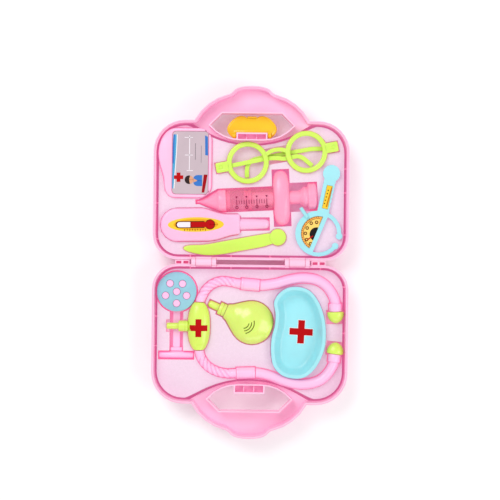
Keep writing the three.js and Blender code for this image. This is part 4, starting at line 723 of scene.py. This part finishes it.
def thermometer_outline():
    half, length, neck = 17.4, 84.0, 10.7
    corner = neck / 4
    low = [(x * length, -y * half) for x, y in [(0.58, 1), (0.72, 0.98), (0.8, 0.76), (0.9, 0.66)]]
    high = [(x * length, y * half) for x, y in [(0.84, 0.62), (0.68, 0.66), (0.6, 0.99), (0.52, 1)]]
    tip = rectangle(length - 3 * corner, -neck, length, neck)
    # Of the tip's four rounded corners only the two at its far end are kept
    return (bezier(low, 14) + rounded(tip, corner, 6)[7:-7] + bezier(high, 14)
            + arc((half, 0), half, 90, 270, 36))


def thermometer_pieces():
    outline = thermometer_outline()
    front = Form().plate([outline], [
        (0, 6.65), (0, 10.9), (0.12, 11.5), (0.42, 12.1), (0.9, 12.55), (1.5, 12.87), (2.2, 13.0)])
    stand_in("thermometer_front", front, "thermometer")
    back = Form().plate([outline], [
        (2.2, 0), (1.5, 0.13), (0.9, 0.45), (0.42, 0.9), (0.12, 1.5), (0, 2.1), (0, 6.35)])
    stand_in("thermometer_back", back, "thermometer")
    profile = [(76.2, 6.2), (84, 6.2), (96, 5.75), (109.4, 5.1), (111.5, 4.85), (113.2, 4.1),
               (114.2, 3.1), (114.5, 2.3)]
    probe = Form().ovals([(x, r, 0.78 * r) for x, r in profile], 48)
    probe.points = [(x, y, z + 6.5) for x, y, z in probe.points]
    stand_in("thermometer_probe", probe, "thermometer")
    label = [(LABEL_AT + 29.5 * x, 7.7 * y) for x, y in circle((0, 0), 1, 96)]
    form = Form().plate([label], [(0, 12.4), (0, 13.0), (0.15, 13.12), (0.4, LABEL_TOP)])
    stand_in("thermometer_label", form, "thermometer")


# Tongue spatula


def spatula_pieces():
    top = [(0.955, 0.46), (0.89, 0.52), (0.71, 0.42), (0.41, 0.22), (0.23, 0.1), (0.09, 0.2),
           (0.022, 0.16)]
    low = [(0, -0.05), (0.014, -0.26), (0.07, -0.55), (0.22, -1.02), (0.38, -1.13), (0.59, -1),
           (0.82, -0.84), (0.89, -0.72), (0.955, -0.6)]
    blade = spline([((x - 1) * 100.4, y * 10) for x, y in top + low], 8)
    # From where the blade meets the round end, round that end and back
    start = math.degrees(math.atan2(blade[-1][1], blade[-1][0]))
    end = math.degrees(math.atan2(blade[0][1], blade[0][0]))
    outline = blade + arc((0, 0), 8.9, start, end, 40)
    form = Form().plate([outline], soft_steps(0, 3.2, 0.8, 0.5, 4))
    form.plate([circle((0, 0), 8.6, 72)], soft_steps(2.6, 3.9, 0.7, 0.0, 4))
    stand_in("tongue_spatula", form, "spatula")


# Dotted-disc tool

DISC_RADIUS = 20.9
PEGS = [(x * DISC_RADIUS, y * DISC_RADIUS) for x, y in
        [(-0.34, 0.41), (0.29, 0.4), (0, 0), (-0.56, -0.2), (0.5, -0.2), (0, -0.59)]]


def disc_tool_pieces():
    backing = [(0, 20.3), (0.4, 21.1), (1.5, 21.8), (7.5, 21.8), (8.5, 21.5), (9, 21)]
    body = Form().post((0, 0), backing, 96)
    for peg in PEGS:
        body.post(peg, [(8, 3.6), (12.5, 3.6), (12.7, 3.4)], 40)
    body.block((-3.9, -59, 0), (3.9, -20.8, 5.8), 0.6)
    body.block((-6.4, -63, 0), (6.4, -59, 5.8), 0.6)
    spigot = Form().turned([(62, 1.45), (66, 1.45)], 24)
    body.add([(y, -x, z + 2.9) for x, y, z in spigot.points], spigot.faces)
    stand_in("disc_tool_body", body, "disc_tool")
    holes = [circle(peg, 3.9, 40)[::-1] for peg in PEGS]
    cap = Form().plate([circle((0, 0), DISC_RADIUS, 96)] + holes, [
        (0, 9.3), (0, 12.0), (0.1, 12.4), (0.35, 12.65), (0.6, 12.7)])
    stand_in("disc_tool_cap", cap, "disc_tool")
    radius = 3.9
    crossbar = Form().turned([(-18.3, 3.0), (-18.0, 3.6), (-17.4, radius), (17.4, radius),
                              (18.0, 3.6), (18.3, 3.0)])
    crossbar.points = [(x, y - 63.3 - radius, z + radius) for x, y, z in crossbar.points]
    stand_in("disc_tool_crossbar", crossbar, "disc_tool")


# Stethoscope: an oval body with a stub, and two arms of twisted tube, sleeve, ear tube and tip

OVAL_HALF_LENGTH = 25.2
OVAL_HALF_WIDTH = 11.8
UPPER_TWIST = [(1.17, 25.84), (1.27, 27.34), (3.37, 31.94), (6.57, 37.94), (13.57, 44.34), (22.97, 47.74),
               (32.47, 47.04), (41.17, 45.44), (43.77, 45.24)]
UPPER_EAR = [(64.37, 43.84), (66.97, 43.84), (80.77, 45.84), (96.07, 50.04), (109.57, 52.04),
             (124.37, 49.94), (134.97, 43.04), (141.37, 33.64), (143.77, 26.94), (143.87, 24.34)]
LOWER_TWIST = [(0.77, -25.76), (0.87, -27.26), (3.37, -34.26), (9.37, -41.86), (18.87, -47.36),
               (29.47, -49.66), (37.37, -49.46), (39.97, -49.36)]
LOWER_EAR = [(60.57, -48.86), (63.17, -48.96), (74.57, -51.36), (89.87, -57.06), (104.87, -60.06),
             (119.37, -59.16), (129.97, -54.86), (137.47, -47.26), (142.67, -37.86), (142.97, -35.26)]
OVAL = [(-1, 0.44), (-0.93, 0.555), (-0.86, 0.66), (-0.6, 0.88), (-0.3, 0.98), (0, 1), (0.3, 0.98),
        (0.6, 0.88), (0.86, 0.66), (0.93, 0.555), (1, 0.44)]


EAR_TUBE_RADIUS = 5.1
EAR_TIP_START = 7.7
EAR_TIP = [(0, 0.9), (0.03, 0.95), (0.1, 1), (0.22, 0.995), (0.35, 0.97), (0.6, 0.83), (0.8, 0.62),
           (0.93, 0.36), (1, 0.14)]


def oval_half_height(share):
    return max(share * 7, 4.9)


def flat_route(points, count):
    return [(x, y, 0.0) for x, y in evenly(spline(points, 12, even=True), count)]


def at_route_end(form, route):
    (x0, y0), (x1, y1) = route[-2:]
    turn = math.atan2(y1 - y0, x1 - x0)
    cos, sin = math.cos(turn), math.sin(turn)
    form.points = [(x1 + x * cos - y * sin, y1 + x * sin + y * cos, z) for x, y, z in form.points]
    return form


def twisted_form(route):
    """A rope-like tube: three lobes with grooves between, and plain round ends."""
    steps, sides, radius, depth, pitch = 200, 60, 4.6, 1.6, 17.0
    line = flat_route(route, steps)
    length = sum(math.dist(a, b) for a, b in zip(line, line[1:]))

    def section(k):
        share = k / steps
        plain = 2 * radius / length
        fade = min(max(min(share, 1 - share) / plain * 2 - 1, 0), 1)
        ring = []
        for i in range(sides):
            turn = 2 * math.pi * i / sides
            lobe = abs(math.cos(1.5 * (turn - 2 * math.pi * share * length / pitch)))
            size = radius - depth * fade * (1 - lobe) ** 1.4
            ring.append((size * math.cos(turn), size * math.sin(turn)))
        return ring
    return Form().swept(line, section)


def stethoscope_pieces():
    half = OVAL_HALF_LENGTH
    fine = spline([(along * half, share * OVAL_HALF_WIDTH, oval_half_height(share))
                   for along, share in OVAL], 6)
    fine = [(-half, fine[0][1] - 0.6, 4.3), (0.25 - half, fine[0][1] - 0.1, 4.8)] + fine[1:-1]
    fine += [(half - 0.25, fine[-1][1] - 0.1, 4.8), (half, fine[-1][1] - 0.9, 4.3)]
    body = Form().ovals(sorted(fine), 72)
    body.points = [(-y, x, z) for x, y, z in body.points]
    stand_in("stethoscope_body", body, "stethoscope", "oval_lime")

    nozzle = Form().turned([(7.2, 3.4), (10.6, 3.4), (11.9, 5.8), (14.2, 5.8), (14.6, 5.5), (15.0, 5.8),
                            (20.9, 5.8), (21.4, 5.3), (21.4, 3.7), (21.8, 3.4), (32.9, 3.4), (33.7, 3.0),
                            (34, 2.3)], 56)
    nozzle.points = [(-x, -y, z) for x, y, z in nozzle.points]
    stand_in("stethoscope_nozzle", nozzle, "stethoscope", "oval_lime")

    for side, twist, ear in (("upper", UPPER_TWIST, UPPER_EAR), ("lower", LOWER_TWIST, LOWER_EAR)):
        stand_in(f"twist_tube_{side}", twisted_form(twist), "stethoscope")
        sleeve = at_route_end(Form().turned([
            (0.3, 5.2), (0.5, 5.7), (1.0, 6), (2.6, 6), (2.9, 5.8), (3.2, 6), (16.8, 6), (17.1, 5.8),
            (17.4, 6), (19.2, 6), (19.8, 5.7), (20, 5.2)], 56), twist)
        stand_in(f"tube_sleeve_{side}", sleeve, "stethoscope")
        ring = circle((0, 0), EAR_TUBE_RADIUS, 40)
        tube = Form().swept(flat_route(ear, 90), lambda k: ring)
        cuff = at_route_end(Form().turned([
            (-1.1, 5.6), (-0.9, 6.1), (-0.4, 6.55), (0.2, 6.7), (6.6, 6.7), (7.1, 6.4),
            (7.4, 5.9)], 56), ear)
        tube.add(cuff.points, cuff.faces)
        stand_in(f"ear_tube_{side}", tube, "stethoscope")
        tip = at_route_end(Form().ovals([
            (EAR_TIP_START + along * 12, share * 9, share * 6.8)
            for along, share in spline(EAR_TIP, 4)], 56), ear)
        stand_in(f"ear_tip_{side}", tip, "stethoscope", "oval_lime")


# Squeeze bulb

BULB_RADIUS = 23.2
BULB_HALF_HEIGHT = 12.6
BULB_NECK = 8
BULB_SHARES = [(-0.995, 0.07), (-0.985, 0.15), (-0.93, 0.37), (-0.82, 0.57), (-0.65, 0.76), (-0.4, 0.917),
               (-0.15, 0.989), (0.1, 0.995), (0.32, 0.947), (0.52, 0.854), (0.72, 0.72), (0.92, 0.57),
               (1.12, 0.42)]


def bulb_sections():
    sections = [(along * BULB_RADIUS, share * BULB_RADIUS,
                 max(share * BULB_HALF_HEIGHT, min(share * BULB_RADIUS, BULB_NECK)))
                for along, share in BULB_SHARES]
    return spline(sections + [(30, BULB_NECK, BULB_NECK)], 6)


def bulb_pieces():
    stand_in("bulb_body", Form().ovals(bulb_sections(), 80), "bulb")
    collar = Form().turned([(30.3, 6.5), (30.5, 6.9), (30.9, 7), (33.5, 7), (33.9, 6.7), (34.1, 6.4),
                            (34.3, 6.7), (34.7, 7), (37.2, 6.95), (37.7, 6.7), (37.9, 6.3)], 56)
    stand_in("bulb_collar", collar, "bulb")
    nozzle = Form().turned([(38.2, 4.1), (40.1, 4.1), (40.4, 3.9), (40.7, 4.1), (47.8, 3.9), (48.8, 3.6),
                            (49.7, 3.0), (50.2, 2.4)], 48)
    stand_in("bulb_nozzle", nozzle, "bulb")


# Kidney dish: a flared wall and a flat rim

DISH_SHARES = [(-0.93, 0.66), (-0.87, 0.4), (-0.89, 0.16), (-1.0, -0.12), (-1.02, -0.45), (-0.92, -0.74),
               (-0.63, -0.93), (-0.27, -1.0), (0.19, -0.98), (0.6, -0.77), (0.9, -0.39), (0.97, -0.02),
               (0.89, 0.36), (0.67, 0.7), (0.36, 0.92), (-0.05, 1.0), (-0.46, 0.97), (-0.77, 0.84)]


def dish_pieces():
    curve = spline([(x * 29, y * 48.2) for x, y in DISH_SHARES], 14, closed=True, even=True)
    outline = evenly(curve + curve[:1], 168)[:-1]
    path = [(9.0, 0), (8.3, 0.2), (7.6, 0.7), (7.1, 1.6), (5.0, 8), (2.5, 13.9), (2.1, 14.3),
            (0.5, 14.6), (0.1, 14.9), (0, 15.3), (0.15, 15.7), (0.5, 16), (3.1, 16), (3.6, 15.8),
            (4.0, 15.2), (5.0, 12.6), (6.8, 8), (8.6, 4.0), (9.3, 3.0), (10.4, 2.2), (11.8, 1.8),
            (13, 1.7)]
    stand_in("kidney_dish", Form().plate([outline], path), "dish")


latch_pieces()
badge_pieces()
glasses_pieces()
syringe_pieces()
thermometer_pieces()
spatula_pieces()
disc_tool_pieces()
stethoscope_pieces()
bulb_pieces()
dish_pieces()


# Prints: thin inks that follow the surface under them; the dark arcs on the bulb are painted shade


def patch(form, rows, surface, lift, sink=0.25):
    """A closed sheet of ink over rows of (x, y); surface gives the height at a point."""
    across, count = len(rows[0]), len(rows) * len(rows[0])
    flat = [point for row in rows for point in row]
    top = [(x, y, surface(x, y) + lift) for x, y in flat]
    low = [(x, y, surface(x, y) - sink) for x, y in flat]
    faces = []
    for r in range(len(rows) - 1):
        for i in range(r * across, r * across + across - 1):
            quad = (i, i + 1, i + across + 1, i + across)
            faces += [quad, tuple(count + corner for corner in reversed(quad))]
    last = (len(rows) - 1) * across
    rim = list(range(across)) + [r * across + across - 1 for r in range(1, len(rows))]
    rim += [last + i for i in range(across - 2, -1, -1)]
    rim += [r * across for r in range(len(rows) - 2, 0, -1)]
    faces += [(one, two, count + two, count + one) for one, two in zip(rim, rim[-1:] + rim[:-1])]
    form.add(top + low, faces)


def strip(line, width, across=3):
    """Rows of points to both sides of a line."""
    rows = []
    for k, (x, y) in enumerate(line):
        before, after = line[max(k - 1, 0)], line[min(k + 1, len(line) - 1)]
        ahead = Vector((after[0] - before[0], after[1] - before[1])).normalized() * width
        sides = [i / (across - 1) - 0.5 for i in range(across)]
        rows.append([(x - ahead.y * side, y + ahead.x * side) for side in sides])
    return rows


def bar(start, end, width, steps=2, across=2):
    return strip([tuple(a + (b - a) * k / steps for a, b in zip(start, end))
                  for k in range(steps + 1)], width, across)


def fan(centre, radius, inner=0.0, start=0, end=360, rings=3, count=32):
    """A disc, ring or sector as rows of arcs."""
    return [arc(centre, inner + (radius - inner) * k / rings, start, end, count)
            for k in range(rings + 1)]


def plus(centre, reach, width, degrees=0.0):
    """A plus sign as one long bar and two short ones."""
    turn = Matrix.Rotation(math.radians(degrees), 2)
    bars = [((-reach, 0), (reach, 0)), ((0, width / 2), (0, reach)), ((0, -width / 2), (0, -reach))]
    return [bar(*(tuple(turn @ Vector(end) + Vector(centre)) for end in ends), width, 12, 7)
            for ends in bars]


def printed(name, patches, surface, body, ink, lift, place=CASE):
    form = Form()
    height = surface if callable(surface) else lambda x, y: surface
    for rows in patches:
        patch(form, rows, height, lift)
    piece(f"print_{name}", form, place, body, INKS[ink])


def badge_prints():
    card_top = 24.75

    def card(name, patches, ink, lift=0.05):
        printed(f"badge_{name}", patches, card_top, "badge", ink, lift)

    wave = [(-82.6, -79.2, 134), (-83.2, -79.3, 126), (-83.4, -79.9, 112), (-83.4, -80.8, 98),
            (-83.5, -81.4, 88), (-83.5, -82.0, 77)]
    smooth = spline([(left, right, y) for left, right, y in wave], 5)
    full = [[(left, y), ((left + right) / 2, y), (right, y)] for left, right, y in smooth]
    card("wave", [full], "teal")
    dark = [[(left, y), (left + (right - left) * 0.45, y)] for left, right, y in smooth[:14]]
    card("wave_dark", [dark], "blue", 0.09)
    card("wave_edge", [strip([(right + 0.4, y) for left, right, y in smooth], 0.9)], "white", 0.07)
    card("side_bar", [[[(-49.4, 133.4), (-46.4, 131.8)], [(-49.0, 112.5), (-46.0, 112.0)]]], "blue")
    card("foot_bar", [[[(-52.4, 73.0), (-49.6, 73.0)], [(-51.2, 84.0), (-47.6, 84.0)],
                       [(-50.3, 92.0), (-46.4, 92.0)]]], "dark_red")
    card("plus", plus((-76.9, 88.9), 4.9, 3.9), "red", 0.13)
    card("head", [fan((-65.4, 86.4), 4.3)], "skin", 0.07)
    card("hair", [fan((-65.9, 86.4), 4.5, 0, 75, 285)], "hair", 0.11)
    coat = [(-61.2, 2.6), (-60.2, 4.4), (-58.6, 5.5), (-56.4, 5.8), (-52.0, 5.8)]
    card("coat", [[[(x, 85.6 - half), (x, 85.6), (x, 85.6 + half)] for x, half in coat]], "blue", 0.09)
    card("collar", [[[(-61.1, 83.4), (-61.1, 87.8)], [(-57.2, 85.4), (-57.2, 85.8)]]], "skin", 0.13)
    card("coat_line", [bar((-57.0, 85.6), (-52.2, 85.6), 0.4)], "navy", 0.13)
    rules = [((-65.6, 96.5), (-65.6, 133.0), 0.9), ((-68.4, 96.0), (-61.6, 96.0), 0.8),
             ((-70.4, 112.4), (-62.0, 112.4), 0.8), ((-71.0, 131.0), (-62.0, 131.0), 0.8)]
    card("rules", [bar(*rule) for rule in rules], "pale", 0.06)
    lines = [((-59.4, 107.5), (-59.4, 125.0), 0.5), ((-53.2, 104.5), (-53.2, 122.5), 0.35)]
    card("lines", [bar(*line) for line in lines], "grey", 0.06)


def thermometer_prints():
    def label(name, patches, ink, lift):
        printed(f"thermometer_{name}", patches, LABEL_TOP, "thermometer", ink, lift,
                PLACES["thermometer"])

    oval = [[(LABEL_AT + 23.5 * share * x, 6.0 * share * y) for x, y in arc((0, 0), 1, 0, 360, 64)]
            for share in (0, 0.5, 1)]
    label("shade", [oval], "orange", 0.03)
    label("outline", [bar((19.6, 0), (46.5, 0), 7.4), fan((19.6, 0), 3.7, 0, 90, 270)], "brown", 0.05)
    label("bulb_outline", [fan((52.3, 0), 5.4)], "brown", 0.07)
    label("glass", [bar((20.2, 0), (31.5, 0), 5.6), fan((20.2, 0), 2.8, 0, 90, 270)], "pale", 0.08)
    label("mark", [bar((31.5, 0), (32.8, 0), 5.6)], "dark_red", 0.08)
    label("column", [bar((32.8, 0), (48.2, 0), 5.6)], "red", 0.1)
    label("bulb", [fan((52.3, 0), 4.6)], "red", 0.12)
    label("ticks", [bar((25.5 + 2.75 * k, -4.5), (25.5 + 2.75 * k, -6.2 if k % 2 else -6.7), 0.6, 1, 2)
                    for k in range(9)], "brown", 0.06)


def syringe_prints():
    def barrel(x, y):
        return math.sqrt(max(BARREL_RADIUS ** 2 - y * y, 1.0))

    lines, rings, heads = [], [], []
    for k, x in enumerate((42.9, 53.3, 64.1, 74.6)):
        lines.append(bar((x, -6.8), (x, -0.2), 0.7, 6, 2))
        rings.append(fan((x, -8.3), 1.6, 0.95, rings=1, count=24))
        heads.append([[(x - 1.2, 3.4), (x + 1.2, 3.4)], [(x - 0.2, 1.5), (x + 0.2, 1.5)]])
        if k < 3:
            lines += [bar((x + step, -4.9), (x + step, -0.8), 0.55, 4, 2) for step in (2.65, 5.25, 7.85)]
    printed("syringe_scale", lines + rings + heads, barrel, "syringe", "maroon", 0.08, PLACES["syringe"])


def gauge_prints():
    middle, hub, dial_top, scale_top = (71.17, 31.14), (69.4, 30.3), 23.9, 24.7

    def dial(name, patches, ink, lift):
        printed(f"gauge_{name}", patches, dial_top, "gauge", ink, lift)

    dial("field", [fan(middle, 15.6, 0, 84, 252)], "yellow", 0.04)
    dial("edge", [fan(middle, 15.9, 15.5, 84, 252, 1)], "brown", 0.06)
    dial("dashes", [[arc(middle, radius, 88 + 8 * k, 91.2 + 8 * k, 3) for radius in (17.0, 17.7)]
                    for k in range(21)], "brown", 0.06)
    dial("hub", [fan(hub, 7.4, 0, 78, 258)], "black", 0.1)
    spots = [(69.3, 43.0), (63.6, 42.0), (59.4, 36.9), (57.6, 31.2), (58.9, 24.7), (63.1, 20.4)]
    dial("rings", [fan(spot_at, 1.85, 0.85, rings=1, count=24) for spot_at in spots], "brown", 0.08)
    dial("pointer", [bar((65.6, 28.6), (59.6, 24.3), 1.3)], "red", 0.14)
    low, high = Vector((77.3, 59.2)), Vector((83.3, 81.0))
    ahead = (high - low).normalized()
    right = Vector((ahead.y, -ahead.x))
    shift, margin = right * 1.9, ahead * 0.6
    stripe = bar(tuple(low + shift + margin), tuple(high + shift - margin), 1.3)
    printed("gauge_stripe", [stripe], scale_top, "gauge", "amber", 0.05)
    dots = [fan(tuple(low + ahead * (3.6 + 3.6 * k) - right), 0.65, rings=1, count=16)
            for k in range(5)]
    printed("gauge_dots", dots, scale_top, "gauge", "black", 0.05)


def bulb_prints():
    sections = bulb_sections()

    def skin(x, y):
        for (x0, y0, z0), (x1, y1, z1) in zip(sections, sections[1:]):
            if x0 <= x <= x1:
                share = (x - x0) / max(x1 - x0, 1e-9)
                wide, tall = y0 + (y1 - y0) * share, z0 + (z1 - z0) * share
                return tall * math.sqrt(max(1 - (y / wide) ** 2, 0.0))
        return 0.0

    to_bulb = PLACES["bulb"].inverted() @ CASE
    # Painted shade: dark olive arcs stand for the shade in the bulb's slits
    slit_shades = []
    for radius, start, end in ((5.8, -88, -6), (8.6, -84, 4), (11.4, -78, 12)):
        line = [to_bulb @ Vector((x, y, 18.0)) for x, y in arc((-6.7, -63.6), radius, start, end, 20)]
        slit_shades.append(strip([(point.x, point.y) for point in line], 1.0, 2))
    printed("bulb_slits", slit_shades, skin, "bulb", "olive", 0.06, PLACES["bulb"])


def plus_prints():
    def oval(x, y):
        at = (y - OVAL_AT[1]) / OVAL_HALF_LENGTH
        for (a0, s0), (a1, s1) in zip(OVAL, OVAL[1:]):
            if a0 <= at <= a1:
                share = s0 + (s1 - s0) * (at - a0) / (a1 - a0)
                flat = min(abs(x - OVAL_AT[0]) / (OVAL_HALF_WIDTH * share), 0.99)
                return OVAL_AT[2] + oval_half_height(share) * math.sqrt(1 - flat ** 2)
        return OVAL_AT[2]

    printed("oval_plus", plus((-54.0, -69.8), 9.4, 6.2), oval, "stethoscope", "red", 0.12)
    for name, reach, width, ink, lift in (("dish_plus_edge", 12.9, 8.1, "white", 0.05),
                                          ("dish_plus", 12.4, 7.1, "red", 0.12)):
        printed(name, plus((54.6, -73.3), reach, width, -2.7), 14.2, "dish", ink, lift)


badge_prints()
thermometer_prints()
syringe_prints()
gauge_prints()
bulb_prints()
plus_prints()
